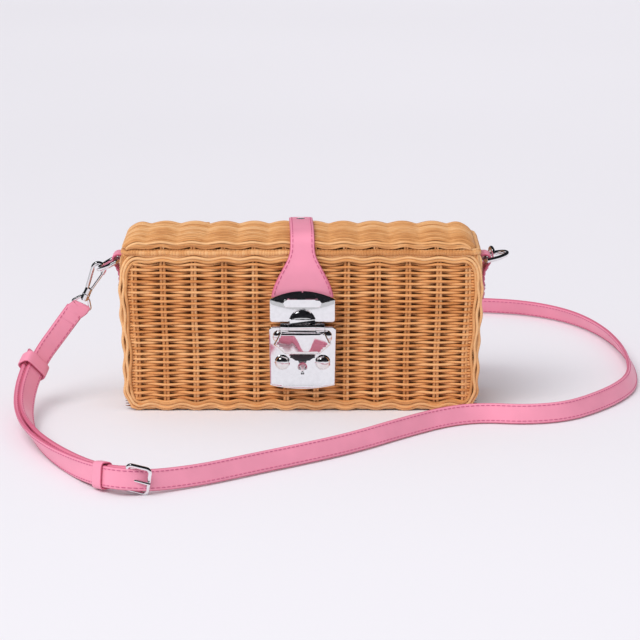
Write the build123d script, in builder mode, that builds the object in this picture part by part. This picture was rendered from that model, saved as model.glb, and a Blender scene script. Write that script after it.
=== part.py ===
from build123d import *
import math
import os

os.makedirs("parts", exist_ok=True)

# A small rectangular rattan basket bag on its flat bottom, in millimetres.
# X runs to the right, -Y faces the viewer and Z is up.
# The origin is the middle of the basket's bottom, on the surface it stands on.

# Driving dimensions of the basket
LENGTH = 215.0
DEPTH = 66.0
SEAM_Z = 100.0
LID_TOP = 108.0
WALL = 4.0
END_WALL = 5.0
CORNER_R = 11.0
RIDGE = 4.0
RIDGE_RISE = 1.1
EDGE_R = 2.0
PROUD = 0.2
HALF_L = LENGTH / 2
HALF_D = DEPTH / 2
INNER_L = HALF_L - END_WALL
INNER_D = HALF_D - WALL
BOTTOM_HALF = HALF_L - CORNER_R
FOOT_RIDGES = 13
FOOT_FLAT = 1.2

# Upright stakes of the front and back walls
STAKE_PITCH = 18.1
STAKES = 10
STAKE_R = 1.9
END_STAKE_X = 98.5
STAKE_LOW = 6.9
SCALLOP_RISE = 1.1
END_BUMPS = 5

# Gaps beside the stakes of the front wall
GAP_LENGTH = 13.4
GAP_HEIGHT = 1.9

# Border round the mouth of the basket
RIM_HEIGHT = 7.6
RIM_WIDTH = 4.6
RIM_CORNER = 7.0
RIM_GROOVE = 0.5
WALL_TOP = SEAM_Z - RIM_HEIGHT

# Lid, and the rods and loops that hinge it
LID_GAP = 0.6
LID_BOTTOM = SEAM_Z + LID_GAP
LID_SKIRT = 103.2
LID_BACK_Y = 32.4
LID_SQUARE = 2.6
LID_END_R = 9.0
LID_CORNER = 8.0
LID_ROOF = 2.8
LID_SIDE = 4.0
HINGE_Y = 30.4
HINGE_Z = 102.6
ROD_R = 1.5
ROD_HALF = 88.0
BODY_ROD_Z = 97.6
RUNNING_GAP = 0.06
LOOP_THICK = 1.0
LOOP_WIDTH = 9.0
LOOP_NOTCH = 10.0
LOOPS_X = (-62.0, 0.0, 62.0)

# Leather tab over the lid
LEATHER = 2.0
TAB_HALF_TOP = 7.3
TAB_HALF_LOW = 19.4

# Clasp
CLASP_X = 0.6
LOCK_HALF = 20.35
LOCK_LOW = 15.5
LOCK_HIGH = 53.8
LOCK_FRONT_Y = -38.3
CLASP_HALF = 19.65
CLASP_LOW = 57.4
CLASP_HIGH = 76.0
CLASP_EDGE = 71.4
CLASP_BACK_Y = -38.0
CLASP_FRONT_Y = -42.4
PIN_Y = -41.5
PIN_Z = 54.3
PIN_R = 0.9
PIN_HALF = 13.8
KNUCKLE_R = 2.5
KNUCKLE_IN = 8.0
KNUCKLE_OUT = 13.2
HASP_BACK_Y = -40.7
HASP_FRONT_Y = -42.9
STUD_X = 12.2
STUD_Z = 31.8
STUD_R = 4.8
STUD_HEIGHT = 3.4
HIGH_STUD_X = 13.6
HIGH_STUD_Z = 47.6
HIGH_STUD_R = 4.4
HIGH_STUD_HEIGHT = 2.0
CATCH_Z = 44.0
CATCH_R = 5.0
KEY_Z = 28.9
RIVET_X = 16.2
RIVET_ROWS = (22.0, 48.4)
RIVET_R = 1.5

# Side tabs, rings and hooks
TAB_X = 112.2
TAB_Z = 88.2
TAB_HALF = 7.0
TAB_FOLD_R = 4.1
TAB_LOW = 64.0
TAB_FLAT = 4.2
RING_WIRE = 1.4
RING_HALF = 9.2
RING_DEPTH = 14.0
RING_CORNER = 1.6
LEFT_RING_DIR = (-0.883, 0, -0.469)
RIGHT_RING_DIR = (0.970, 0, 0.242)
HOOK_WIRE = 1.3
BOW = ((-1.1, -18.1), (-4.1, 0.4), (4.1, 0.4), (3.45, -5.0))
BOW_R = 3.4
NECK_R = 2.4
NECK_TOP = 16.6
NECK_LOW = 20.4
SHAFT_R = 1.2
SHAFT_LOW = 24.9
GATE_TOP = (3.45, -5.35)
GATE_PIVOT = (1.3, -17.6)
GATE_EYE = 1.5
GATE_HALF = 0.8
EYE_R = 2.6
EYE_TOP = 20.9
EYE_LOW = 24.2
EYE_BAR = 29.4
EYE_HALF = 7.0
EYE_WIRE = 1.0

# Strap, a flat leather band that stands on its edge
STRAP_WIDTH = 12.0
STRAP_THICK = 2.2
ARC_SHARE = 0.45
SHORT_LEAN = -35.0
LONG_LEAN = -24.0
SHORT_ROUTE = [
    (-139.2, -1.0, 56.5),
    (-150.0, -4.0, 42.0),
    (-159.5, -12.0, 30.0),
    (-164.5, -30.0, 19.5),
    (-165.0, -57.0, 12.5),
    (-161.0, -88.0, 8.8),
    (-151.5, -122.0, 7.0),
    (-138.5, -153.0, 6.2),
    (-124.0, -179.0, 6.3),
    (-111.5, -199.0, 7.6),
    (-102.5, -211.5, 9.4),
    (-98.6, -213.6, 9.7),
]
LONG_ROUTE = [
    (112.2, 37.1, 78.1),
    (104.0, 50.0, 62.0),
    (90.0, 66.0, 40.0),
    (68.0, 84.0, 19.0),
    (40.0, 106.0, 8.5),
    (16.0, 138.0, 6.15),
    (10.0, 176.0, 6.15),
    (26.0, 212.0, 6.15),
    (58.0, 235.0, 6.15),
    (94.0, 246.0, 6.15),
    (130.0, 245.0, 6.15),
    (161.0, 234.0, 6.15),
    (187.0, 205.0, 6.15),
    (203.0, 160.0, 6.15),
    (210.0, 110.0, 6.15),
    (211.0, 60.0, 6.15),
    (206.5, 18.0, 6.15),
    (194.0, -12.0, 6.15),
    (176.0, -39.0, 6.15),
    (158.0, -58.0, 6.15),
    (134.0, -65.0, 6.15),
    (108.0, -60.0, 6.15),
    (86.0, -69.0, 6.15),
    (60.0, -95.0, 6.15),
    (30.0, -129.0, 6.15),
    (2.0, -153.0, 6.15),
    (-25.0, -174.0, 6.15),
    (-50.0, -195.0, 6.3),
    (-67.0, -206.5, 6.8),
    (-81.4, -215.2, 7.8),
    (-94.5, -219.9, 9.7),
    (-104.6, -213.8, 9.2),
    (-113.9, -200.7, 7.6),
    (-126.5, -180.5, 6.3),
    (-141.0, -154.3, 6.3),
    (-154.2, -123.0, 7.0),
    (-163.9, -88.5, 8.8),
    (-167.9, -57.0, 12.5),
    (-167.8, -29.4, 19.5),
    (-163.8, -10.2, 29.6),
]

# Buckle and keepers on the strap
BUCKLE_AT = (-87.9, -216.9, 8.8)
BUCKLE_ALONG = (0.96, -0.2, -0.2)
BUCKLE_LEAN = (-0.2, -0.94, -0.2)
BUCKLE_HALF_U = 6.4
BUCKLE_HALF_W = 7.7
BUCKLE_WIRE = 1.15
PRONG_R = 0.8
PRONG_HOLE_U = -3.7
PRONG_HOLE_LONG = 11.0
PRONG_HOLE_WIDE = 3.4
KEEPER_THICK = 1.0
KEEPER_LONG = 9.0
FIXED_KEEPER_AT = (-108.23, -206.1, 8.43)
FIXED_KEEPER_ALONG = (0.58, -0.806, 0.116)
FIXED_KEEPER_UP = (-0.227, -0.033, 0.973)
FIXED_KEEPER_ROOM = (6.8, 12.9)
FREE_KEEPER_AT = (-163.87, -20.29, 24.71)
FREE_KEEPER_ALONG = (-0.233, -0.84, -0.49)
FREE_KEEPER_UP = (-0.194, -0.439, 0.877)
FREE_KEEPER_ROOM = (8.6, 14.2)


def save(part, name):
    part.label = name
    export_step(part, f"parts/{name}.step")


def stake_places():
    first = -STAKE_PITCH * (STAKES - 1) / 2
    return [first + STAKE_PITCH * i for i in range(STAKES)]


def end_plan():
    """Plan of one end wall, with a half-round strand every few millimetres."""
    reach = HALF_D - EDGE_R
    count = round(2 * reach / RIDGE)
    pitch = 2 * reach / count
    crest = HALF_L + PROUD
    low = crest - RIDGE_RISE
    with BuildSketch() as plan:
        with BuildLine():
            for k in range(count):
                y = -reach + pitch * k
                ThreePointArc((low, y), (crest, y + pitch / 2), (low, y + pitch))
            CenterArc((low - EDGE_R, reach), EDGE_R, 0, 90)
            Polyline(
                (low - EDGE_R, HALF_D),
                (BOTTOM_HALF - 1, HALF_D),
                (BOTTOM_HALF - 1, -HALF_D),
                (low - EDGE_R, -HALF_D),
            )
            CenterArc((low - EDGE_R, -reach), EDGE_R, 270, 90)
        make_face()
    return plan.sketch


def end_band():
    """The band of the right end, seen from the front: bumps over its stakes."""
    pitch = (WALL_TOP - CORNER_R) / END_BUMPS
    low = HALF_L - SCALLOP_RISE
    with BuildSketch(Plane.XZ.offset(-DEPTH)) as band:
        with BuildLine():
            for k in range(END_BUMPS):
                z = CORNER_R + pitch * k
                ThreePointArc((low, z), (HALF_L, z + pitch / 2), (low, z + pitch))
            Polyline((low, WALL_TOP), (INNER_L, WALL_TOP), (INNER_L, CORNER_R))
            CenterArc((BOTTOM_HALF, CORNER_R), CORNER_R - END_WALL, 270, 90)
            Line((BOTTOM_HALF, END_WALL), (BOTTOM_HALF, 0))
            bend = (BOTTOM_HALF + 0.64 * CORNER_R, 0.29 * CORNER_R)
            ThreePointArc((BOTTOM_HALF, 0), bend, (low, CORNER_R))
        make_face()
    return band.sketch


def end_wall():
    with BuildPart() as wall:
        extrude(end_band(), amount=2 * DEPTH, dir=(0, -1, 0))
        extrude(end_plan(), amount=SEAM_Z, dir=(0, 0, 1), mode=Mode.INTERSECT)
    return wall.part


def wall_outline():
    """Outline of the front wall: set into the end bands, scalloped along the bottom."""
    with BuildSketch(Plane.XZ.offset(-HALF_D)) as outline:
        with BuildLine():
            Line((-BOTTOM_HALF, SCALLOP_RISE), (-BOTTOM_HALF, END_WALL))
            CenterArc((-BOTTOM_HALF, CORNER_R), CORNER_R - END_WALL, 180, 90)
            Polyline(
                (-INNER_L, CORNER_R),
                (-INNER_L, WALL_TOP),
                (INNER_L, WALL_TOP),
                (INNER_L, CORNER_R),
            )
            CenterArc((BOTTOM_HALF, CORNER_R), CORNER_R - END_WALL, 270, 90)
            Line((BOTTOM_HALF, END_WALL), (BOTTOM_HALF, SCALLOP_RISE))
            half = STAKE_PITCH / 2
            for x in stake_places():
                ThreePointArc((x - half, SCALLOP_RISE), (x, 0), (x + half, SCALLOP_RISE))
            edge = half * STAKES
            Line((edge, SCALLOP_RISE), (BOTTOM_HALF, SCALLOP_RISE))
            Line((-edge, SCALLOP_RISE), (-BOTTOM_HALF, SCALLOP_RISE))
        make_face()
    return outline.sketch


def wall_ridges():
    """Section of the front wall: one half-round strand above the other."""
    count = round(WALL_TOP / RIDGE)
    pitch = WALL_TOP / count
    low = -HALF_D + RIDGE_RISE
    with BuildSketch(Plane.YZ.offset(-INNER_L)) as section:
        with BuildLine():
            for k in range(count):
                z = pitch * k
                ThreePointArc((low, z), (-HALF_D, z + pitch / 2), (low, z + pitch))
            Polyline((low, WALL_TOP), (-INNER_D, WALL_TOP), (-INNER_D, 0), (low, 0))
        make_face()
    return section.sketch, pitch, count


def plain_wall():
    section, pitch, count = wall_ridges()
    with BuildPart() as wall:
        extrude(section, amount=2 * INNER_L, dir=(1, 0, 0))
        extrude(wall_outline(), amount=2 * DEPTH, dir=(0, -1, 0), mode=Mode.INTERSECT)
    return wall.part, pitch, count


# One eye-shaped gap across a stake, between two strands
with BuildSketch() as eye_gap:
    with BuildLine():
        ThreePointArc((-GAP_LENGTH / 2, 0), (0, GAP_HEIGHT / 2), (GAP_LENGTH / 2, 0))
        ThreePointArc((GAP_LENGTH / 2, 0), (0, -GAP_HEIGHT / 2), (-GAP_LENGTH / 2, 0))
    make_face()

# Front wall, with the gaps beside its stakes in alternate rows
front_wall, row_pitch, rows = plain_wall()
with BuildPart() as front_panel:
    add(front_wall)
    with BuildSketch(Plane.XZ.offset(INNER_D - 1)):
        for i, stake in enumerate(stake_places()):
            for row in range(1 + i % 2, rows, 2):
                with Locations((stake, row_pitch * row)):
                    add(eye_gap.sketch)
    extrude(amount=WALL + 2, mode=Mode.SUBTRACT)
    with BuildSketch(Plane.XZ.offset(INNER_D - 1)):
        for row_z in RIVET_ROWS:
            with Locations((CLASP_X - RIVET_X, row_z), (CLASP_X + RIVET_X, row_z)):
                Circle(RIVET_R)
    extrude(amount=WALL + 2, mode=Mode.SUBTRACT)
save(front_panel.part, "front_panel")

# Back wall, woven close
with BuildPart() as back_panel:
    mirror(front_wall, about=Plane.XZ)
save(back_panel.part, "back_panel")

# End walls, whose strands run on round the bottom corners
with BuildPart() as right_end:
    add(end_wall())
save(right_end.part, "right_end")

with BuildPart() as left_end:
    mirror(right_end.part, about=Plane.YZ)
save(left_end.part, "left_end")


def foot_section():
    """Section of the bottom: strands with a narrow flat worn on each."""
    pitch = 2 * INNER_D / FOOT_RIDGES
    flat = FOOT_FLAT / 2
    with BuildSketch(Plane.YZ.offset(-BOTTOM_HALF)) as section:
        with BuildLine():
            for k in range(FOOT_RIDGES):
                y = -INNER_D + pitch * k
                mid = y + pitch / 2
                third = (mid - flat - y) * 0.4
                ThreePointArc((y, RIDGE_RISE), (y + third, RIDGE_RISE * 0.3), (mid - flat, 0))
                Line((mid - flat, 0), (mid + flat, 0))
                end = y + pitch
                ThreePointArc((mid + flat, 0), (end - third, RIDGE_RISE * 0.3), (end, RIDGE_RISE))
            Polyline(
                (INNER_D, RIDGE_RISE),
                (INNER_D, END_WALL),
                (-INNER_D, END_WALL),
                (-INNER_D, RIDGE_RISE),
            )
        make_face()
    return section.sketch


# Bottom
with BuildPart() as bottom_panel:
    extrude(foot_section(), amount=2 * BOTTOM_HALF, dir=(1, 0, 0))
save(bottom_panel.part, "bottom_panel")


def stake_row(x_places):
    """Half-round stakes against the inside of the front wall."""
    with BuildPart() as row:
        with BuildSketch(Plane.XY.offset(STAKE_LOW)):
            for x in x_places:
                with BuildLine():
                    left = (x - STAKE_R, -INNER_D)
                    right = (x + STAKE_R, -INNER_D)
                    Line(left, right)
                    ThreePointArc(left, (x, -INNER_D + STAKE_R), right)
                make_face()
        extrude(amount=WALL_TOP - STAKE_LOW)
    return row.part


stake_xs = [-END_STAKE_X] + stake_places() + [END_STAKE_X]
with BuildPart() as front_stakes:
    add(stake_row(stake_xs))
save(front_stakes.part, "front_stakes")

with BuildPart() as back_stakes:
    mirror(front_stakes.part, about=Plane.XZ)
save(back_stakes.part, "back_stakes")


def rim_section():
    """Two strands, one on the other, with a round top."""
    half = RIM_WIDTH / 2
    nip = half - RIM_GROOVE
    waist = WALL_TOP + RIM_HEIGHT * 0.42
    shoulder = SEAM_Z - half
    start = Plane(origin=(0, -HALF_D + half, 0), x_dir=(0, 1, 0), z_dir=(1, 0, 0))
    with BuildSketch(start) as section:
        with BuildLine():
            for side in (-1, 1):
                mid = (WALL_TOP + waist) / 2
                ThreePointArc((side * nip, WALL_TOP), (side * half, mid), (side * nip, waist))
                Line((side * nip, waist), (side * half, shoulder))
            Line((-nip, WALL_TOP), (nip, WALL_TOP))
            ThreePointArc((-half, shoulder), (0, SEAM_Z), (half, shoulder))
        make_face()
    return section.sketch


# Border round the mouth, with a bare rod where each hinge loop goes round
with BuildPart() as half_rim:
    rim_x = HALF_L - RIM_WIDTH / 2
    rim_y = HALF_D - RIM_WIDTH / 2
    with BuildLine() as rim_path:
        FilletPolyline((0, -rim_y), (rim_x, -rim_y), (rim_x, rim_y), (0, rim_y), radius=RIM_CORNER)
    sweep(rim_section(), path=rim_path.wires()[0])

with BuildPart() as body_rim:
    add(half_rim.part)
    mirror(half_rim.part, about=Plane.YZ)
    loop_low = BODY_ROD_Z - ROD_R - LOOP_THICK - 0.5
    with BuildSketch(Plane.XY.offset(loop_low)):
        for loop_x in LOOPS_X:
            with Locations((loop_x, HINGE_Y)):
                Rectangle(LOOP_NOTCH, RIM_WIDTH + 3)
    extrude(amount=RIM_HEIGHT, mode=Mode.SUBTRACT)
    with BuildSketch(Plane.YZ):
        with Locations((HINGE_Y, BODY_ROD_Z)):
            Circle(ROD_R)
    extrude(amount=ROD_HALF - 16, both=True)
save(body_rim.part, "body_rim")

# Loops of split cane that tie the lid's back rod to the border
with BuildPart() as hinge_loops:
    for loop_x in LOOPS_X:
        loop_plane = Plane.YZ.offset(loop_x)
        with BuildSketch(loop_plane):
            with Locations((HINGE_Y, (HINGE_Z + BODY_ROD_Z) / 2)):
                bend = ROD_R + RUNNING_GAP
                span = HINGE_Z - BODY_ROD_Z
                SlotCenterToCenter(span, 2 * (bend + LOOP_THICK), rotation=90)
                SlotCenterToCenter(span, 2 * bend, rotation=90, mode=Mode.SUBTRACT)
        extrude(amount=LOOP_WIDTH / 2, both=True)
save(hinge_loops.part, "hinge_loops")


# The lid's curve from front to back is a superellipse on the skirt
LID_MID_Y = (LID_BACK_Y - HALF_D) / 2
LID_HALF_Y = (LID_BACK_Y + HALF_D) / 2


def dome(turn, inset=0.0):
    """A point of the lid's curve, from the front (0) to the back (pi)."""
    power = 2 / LID_SQUARE
    y = math.copysign(abs(math.cos(turn)) ** power, -math.cos(turn))
    z = max(math.sin(turn), 0) ** power
    across = LID_HALF_Y - inset
    rise = LID_TOP + PROUD - LID_SKIRT - inset
    return (LID_MID_Y + across * y, LID_SKIRT + rise * z)


def even_turns(count, fine=4000):
    """Turns that cut the lid's curve into pieces of one length."""
    turns = [math.pi * k / fine for k in range(fine + 1)]
    reach = [0.0]
    for a, b in zip(turns, turns[1:]):
        reach.append(reach[-1] + math.dist(dome(a), dome(b)))
    picks = []
    for k in range(count + 1):
        goal = reach[-1] * k / count
        picks.append(next(t for t, r in zip(turns, reach) if r >= goal - 1e-9))
    return picks


def lid_section():
    strands = 18
    turns = even_turns(2 * strands)
    with BuildSketch(Plane.YZ.offset(-LENGTH)) as section:
        with BuildLine():
            front_low = (-HALF_D + RIDGE_RISE, LID_BOTTOM)
            first = dome(turns[0], RIDGE_RISE)
            skirt_mid = (-HALF_D, (LID_BOTTOM + LID_SKIRT) / 2)
            ThreePointArc(front_low, skirt_mid, first)
            for k in range(strands):
                start = dome(turns[2 * k], RIDGE_RISE)
                crest = dome(turns[2 * k + 1])
                inset = 0.0 if k == strands - 1 else RIDGE_RISE
                ThreePointArc(start, crest, dome(turns[2 * k + 2], inset))
            back_r = HINGE_Z - LID_BOTTOM
            Line((LID_BACK_Y, LID_SKIRT), (LID_BACK_Y, HINGE_Z))
            CenterArc((HINGE_Y, HINGE_Z), back_r, 270, 90)
            Line((HINGE_Y, LID_BOTTOM), front_low)
        make_face()
    return section.sketch


def lid_outline():
    """The lid from the front: bumps over its stakes and rounded ends."""
    half = STAKE_PITCH / 2
    valley = LID_TOP - SCALLOP_RISE
    edge = half * STAKES
    turn_x = HALF_L - LID_END_R
    low = LID_TOP - LID_END_R
    slant = math.sqrt(0.5) * LID_END_R
    with BuildSketch(Plane.XZ.offset(-DEPTH)) as outline:
        with BuildLine():
            for x in stake_places():
                ThreePointArc((x - half, valley), (x, LID_TOP), (x + half, valley))
            for side in (-1, 1):
                Line((side * edge, valley), (side * turn_x, LID_TOP))
                bend = (side * (turn_x + slant), low + slant)
                ThreePointArc((side * turn_x, LID_TOP), bend, (side * HALF_L, low))
            Line((-HALF_L, low), (HALF_L, low))
        make_face()
    return outline.sketch


# Lid, one woven shell
with BuildPart() as lid_panel:
    extrude(lid_section(), amount=2 * LENGTH, dir=(1, 0, 0))
    extrude(lid_outline(), amount=2 * DEPTH, dir=(0, -1, 0), mode=Mode.INTERSECT)
    with BuildSketch(Plane.XY.offset(LID_BOTTOM - 1)):
        RectangleRounded(LENGTH - PROUD, DEPTH + 3 * PROUD, LID_CORNER)
    extrude(amount=LID_TOP, mode=Mode.INTERSECT)
    with BuildSketch(Plane.YZ):
        hollow_front = -HALF_D + LID_SIDE
        hollow_back = HINGE_Y - ROD_R - 0.8
        hollow_top = LID_TOP - LID_ROOF
        with BuildLine():
            Polyline(
                (hollow_front, LID_SKIRT),
                (hollow_front, LID_BOTTOM - 1),
                (hollow_back, LID_BOTTOM - 1),
                (hollow_back, LID_SKIRT),
            )
            ThreePointArc((hollow_back, LID_SKIRT), (0, hollow_top), (hollow_front, LID_SKIRT))
        make_face()
    extrude(amount=HALF_L - LID_SIDE, both=True, mode=Mode.SUBTRACT)
    with BuildSketch(Plane.YZ):
        with Locations((HINGE_Y, HINGE_Z)):
            Circle(ROD_R)
    extrude(amount=ROD_HALF, both=True, mode=Mode.SUBTRACT)
    with BuildSketch(Plane.XY.offset(LID_BOTTOM - 1)):
        for loop_x in LOOPS_X:
            with Locations((loop_x, HINGE_Y + 1)):
                Rectangle(LOOP_NOTCH, 2 * LID_SIDE)
    extrude(amount=HINGE_Z - LID_BOTTOM + LOOP_THICK + 4, mode=Mode.SUBTRACT)
save(lid_panel.part, "lid_panel")

with BuildPart() as lid_back_rod:
    with BuildSketch(Plane.YZ):
        with Locations((HINGE_Y, HINGE_Z)):
            Circle(ROD_R)
    extrude(amount=ROD_HALF, both=True)
save(lid_back_rod.part, "lid_back_rod")


TAB_FRONT_Y = CLASP_BACK_Y + LEATHER / 2 + PROUD
TAB_LINE = [
    (21.0, 108.9),
    (14.0, 109.4),
    (0.0, 109.55),
    (-14.0, 109.45),
    (-23.0, 109.05),
    (-29.3, 107.95),
    (-33.8, 105.5),
    (-35.0, 101.5),
    (-36.1, 95.5),
    (-37.4, 87.0),
    (-36.95, 79.0),
    (TAB_FRONT_Y, 73.0),
    (TAB_FRONT_Y, CLASP_LOW + 1.2),
]


def tab_edge(shift):
    """The tab's side line moved outwards by a shift."""
    edge = []
    for k, (y, z) in enumerate(TAB_LINE):
        before = TAB_LINE[max(k - 1, 0)]
        after = TAB_LINE[min(k + 1, len(TAB_LINE) - 1)]
        run = math.dist(before, after)
        out_y = (after[1] - before[1]) / run
        out_z = -(after[0] - before[0]) / run
        edge.append((y + shift * out_y, z + shift * out_z))
    return edge


def tab_side():
    """Side view of the leather tab: over the lid, round its edge and down the front."""
    with BuildSketch(Plane.YZ.offset(-TAB_HALF_LOW - 2)) as strip:
        with BuildLine():
            outer = Spline(*tab_edge(LEATHER / 2))
            inner = Spline(*tab_edge(-LEATHER / 2))
            Line(outer @ 0, inner @ 0)
            Line(outer @ 1, inner @ 1)
        make_face()
    return strip.sketch


# Leather tab, narrow on the lid and flared where it carries the clasp
with BuildPart() as lid_tab:
    extrude(tab_side(), amount=2 * TAB_HALF_LOW + 4, dir=(1, 0, 0))
    with BuildSketch(Plane.XZ):
        with BuildLine():
            for side in (-1, 1):
                flare = Spline(
                    (CLASP_X + side * TAB_HALF_TOP, 97.5),
                    (CLASP_X + side * 9.2, 92.5),
                    (CLASP_X + side * 13.7, 86.4),
                    (CLASP_X + side * 17.5, 78.6),
                    (CLASP_X + side * TAB_HALF_LOW, 70.5),
                    tangents=[(0, -1), (side * 0.12, -1)],
                )
                Line(flare @ 0, (CLASP_X + side * TAB_HALF_TOP, LID_TOP + 6))
                Line(flare @ 1, (CLASP_X + side * TAB_HALF_LOW, CLASP_LOW + 1.2))
            Line(
                (CLASP_X - TAB_HALF_TOP, LID_TOP + 6),
                (CLASP_X + TAB_HALF_TOP, LID_TOP + 6),
            )
            Line(
                (CLASP_X - TAB_HALF_LOW, CLASP_LOW + 1.2),
                (CLASP_X + TAB_HALF_LOW, CLASP_LOW + 1.2),
            )
        make_face()
    extrude(amount=DEPTH, both=True, mode=Mode.INTERSECT)
save(lid_tab.part, "lid_tab")


def cap(at, out, side, radius, height):
    """A domed cap on a face at a point, with its top along out."""
    base = Plane(origin=at, x_dir=side, z_dir=out)
    turned = Plane(origin=at, x_dir=side, z_dir=base.y_dir * -1)
    with BuildPart() as dome_cap:
        with BuildSketch(turned):
            with BuildLine():
                Line((0, 0), (0, height))
                ThreePointArc((0, height), (radius * 0.72, height * 0.66), (radius, 0))
                Line((radius, 0), (0, 0))
            make_face()
        revolve(axis=Axis(at, out))
    return dome_cap.part


with BuildPart() as tab_rivet:
    add(cap((CLASP_X, 14.0, 110.55), (0, 0, 1), (1, 0, 0), 3.0, 1.4))
save(tab_rivet.part, "tab_rivet")

# Upper clasp plate on the leather, with the middle knuckle of the hinge
with BuildPart() as clasp_plate:
    with BuildSketch(Plane.XZ.offset(-CLASP_BACK_Y)):
        with BuildLine():
            corner = 1.6
            left = CLASP_X - CLASP_HALF
            right = CLASP_X + CLASP_HALF
            ThreePointArc((left, CLASP_EDGE), (CLASP_X, CLASP_HIGH), (right, CLASP_EDGE))
            FilletPolyline(
                (left, CLASP_EDGE),
                (left, CLASP_LOW),
                (right, CLASP_LOW),
                (right, CLASP_EDGE),
                radius=corner,
            )
        make_face()
    extrude(amount=CLASP_BACK_Y - CLASP_FRONT_Y)
    fillet(clasp_plate.faces().sort_by(Axis.Y)[0].edges(), 0.8)
    with BuildSketch(Plane.XZ.offset(-CLASP_FRONT_Y)):
        with Locations((CLASP_X, 69.1)):
            SlotOverall(22.4, 4.6)
    extrude(amount=0.8)
    with BuildSketch(Plane.XZ.offset(-CLASP_FRONT_Y - 0.5)):
        with BuildLine():
            ThreePointArc((CLASP_X - 7.6, 59.4), (CLASP_X, 65.4), (CLASP_X + 7.6, 59.4))
            Line((CLASP_X + 7.6, 59.4), (CLASP_X - 7.6, 59.4))
        make_face()
    extrude(amount=2.0, taper=18)
    with BuildSketch(Plane.YZ.offset(CLASP_X)):
        with Locations((PIN_Y, PIN_Z)):
            Circle(KNUCKLE_R)
        with BuildLine():
            Polyline(
                (PIN_Y - 0.9, PIN_Z),
                (PIN_Y - 0.9, CLASP_LOW + 1),
                (PIN_Y + 2.4, CLASP_LOW + 1),
                (PIN_Y + 2.4, PIN_Z),
                (PIN_Y - 0.9, PIN_Z),
            )
        make_face()
    extrude(amount=KNUCKLE_IN, both=True)
    with BuildSketch(Plane.YZ.offset(CLASP_X)):
        with Locations((PIN_Y, PIN_Z)):
            Circle(PIN_R)
    extrude(amount=KNUCKLE_OUT, both=True, mode=Mode.SUBTRACT)
save(clasp_plate.part, "clasp_plate")

with BuildPart() as clasp_pin:
    with BuildSketch(Plane.YZ.offset(CLASP_X)):
        with Locations((PIN_Y, PIN_Z)):
            Circle(PIN_R)
    extrude(amount=PIN_HALF, both=True)
save(clasp_pin.part, "clasp_pin")

with BuildPart() as clasp_back:
    with BuildSketch(Plane.XZ.offset(-CLASP_BACK_Y - LEATHER - 1.6)):
        with Locations((CLASP_X, 66.5)):
            RectangleRounded(33, 14, 2)
    extrude(amount=1.2)
save(clasp_back.part, "clasp_back")

# Hasp, a six-sided plate on two outer knuckles
with BuildPart() as hasp:
    with BuildSketch(Plane.XZ.offset(-HASP_BACK_Y)):
        with BuildLine():
            Polyline(
                (CLASP_X - 13.2, 51.3),
                (CLASP_X - 17.2, 43.6),
                (CLASP_X - 10.2, 37.6),
                (CLASP_X + 10.2, 37.6),
                (CLASP_X + 17.2, 43.6),
                (CLASP_X + 13.2, 51.3),
                close=True,
            )
        make_face()
    extrude(amount=HASP_BACK_Y - HASP_FRONT_Y)
    chamfer(hasp.faces().sort_by(Axis.Y)[0].edges(), 0.7)
    knuckle_mid = (KNUCKLE_IN + 0.25 + KNUCKLE_OUT) / 2
    knuckle_half = (KNUCKLE_OUT - KNUCKLE_IN - 0.25) / 2
    for side in (-1, 1):
        with BuildSketch(Plane.YZ.offset(CLASP_X + side * knuckle_mid)):
            with Locations((PIN_Y, PIN_Z)):
                Circle(KNUCKLE_R)
            with BuildLine():
                Polyline(
                    (HASP_FRONT_Y + 0.7, 50.6),
                    (HASP_FRONT_Y + 0.7, PIN_Z),
                    (HASP_BACK_Y, PIN_Z),
                    (HASP_BACK_Y, 50.6),
                    close=True,
                )
            make_face()
        extrude(amount=knuckle_half, both=True)
    with BuildSketch(Plane.YZ.offset(CLASP_X)):
        with Locations((PIN_Y, PIN_Z)):
            Circle(PIN_R + RUNNING_GAP)
    extrude(amount=PIN_HALF, both=True, mode=Mode.SUBTRACT)
save(hasp.part, "hasp")

# Lock plate on the basket's front, with the finger scoop and the keyhole
with BuildPart() as lock_plate:
    with BuildSketch(Plane.XZ.offset(HALF_D)):
        with BuildLine():
            low_edge = LOCK_LOW + 2.3
            slope = 0.7
            left = CLASP_X - LOCK_HALF
            right = CLASP_X + LOCK_HALF
            ThreePointArc(
                (left + slope, low_edge), (CLASP_X, LOCK_LOW), (right - slope, low_edge)
            )
            FilletPolyline(
                (left + slope, low_edge),
                (left, LOCK_HIGH),
                (right, LOCK_HIGH),
                (right - slope, low_edge),
                radius=2.4,
            )
        make_face()
    extrude(amount=-HALF_D - LOCK_FRONT_Y)
    fillet(lock_plate.faces().sort_by(Axis.Y)[0].edges(), 0.9)
    with BuildSketch(Plane.XZ.offset(-LOCK_FRONT_Y - 2.2)):
        with BuildLine():
            Line((CLASP_X - 7.6, 36.6), (CLASP_X + 7.6, 36.6))
            ThreePointArc((CLASP_X - 7.6, 36.6), (CLASP_X, 32.4), (CLASP_X + 7.6, 36.6))
        make_face()
    extrude(amount=3, mode=Mode.SUBTRACT)
    with BuildSketch(Plane.XZ.offset(-LOCK_FRONT_Y - 3)):
        with Locations((CLASP_X, KEY_Z)):
            Circle(1.9)
        with Locations((CLASP_X, KEY_Z - 2.6)):
            Rectangle(1.6, 3.4)
    extrude(amount=4, mode=Mode.SUBTRACT)
save(lock_plate.part, "lock_plate")

with BuildPart() as keyhole_ring:
    with BuildSketch(Plane.XZ.offset(-LOCK_FRONT_Y)):
        with Locations((CLASP_X, KEY_Z)):
            Circle(2.9)
            Circle(1.9, mode=Mode.SUBTRACT)
            with Locations((0, -2.6)):
                Rectangle(1.6, 3.4, mode=Mode.SUBTRACT)
    extrude(amount=0.5)
save(keyhole_ring.part, "keyhole_ring")

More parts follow.
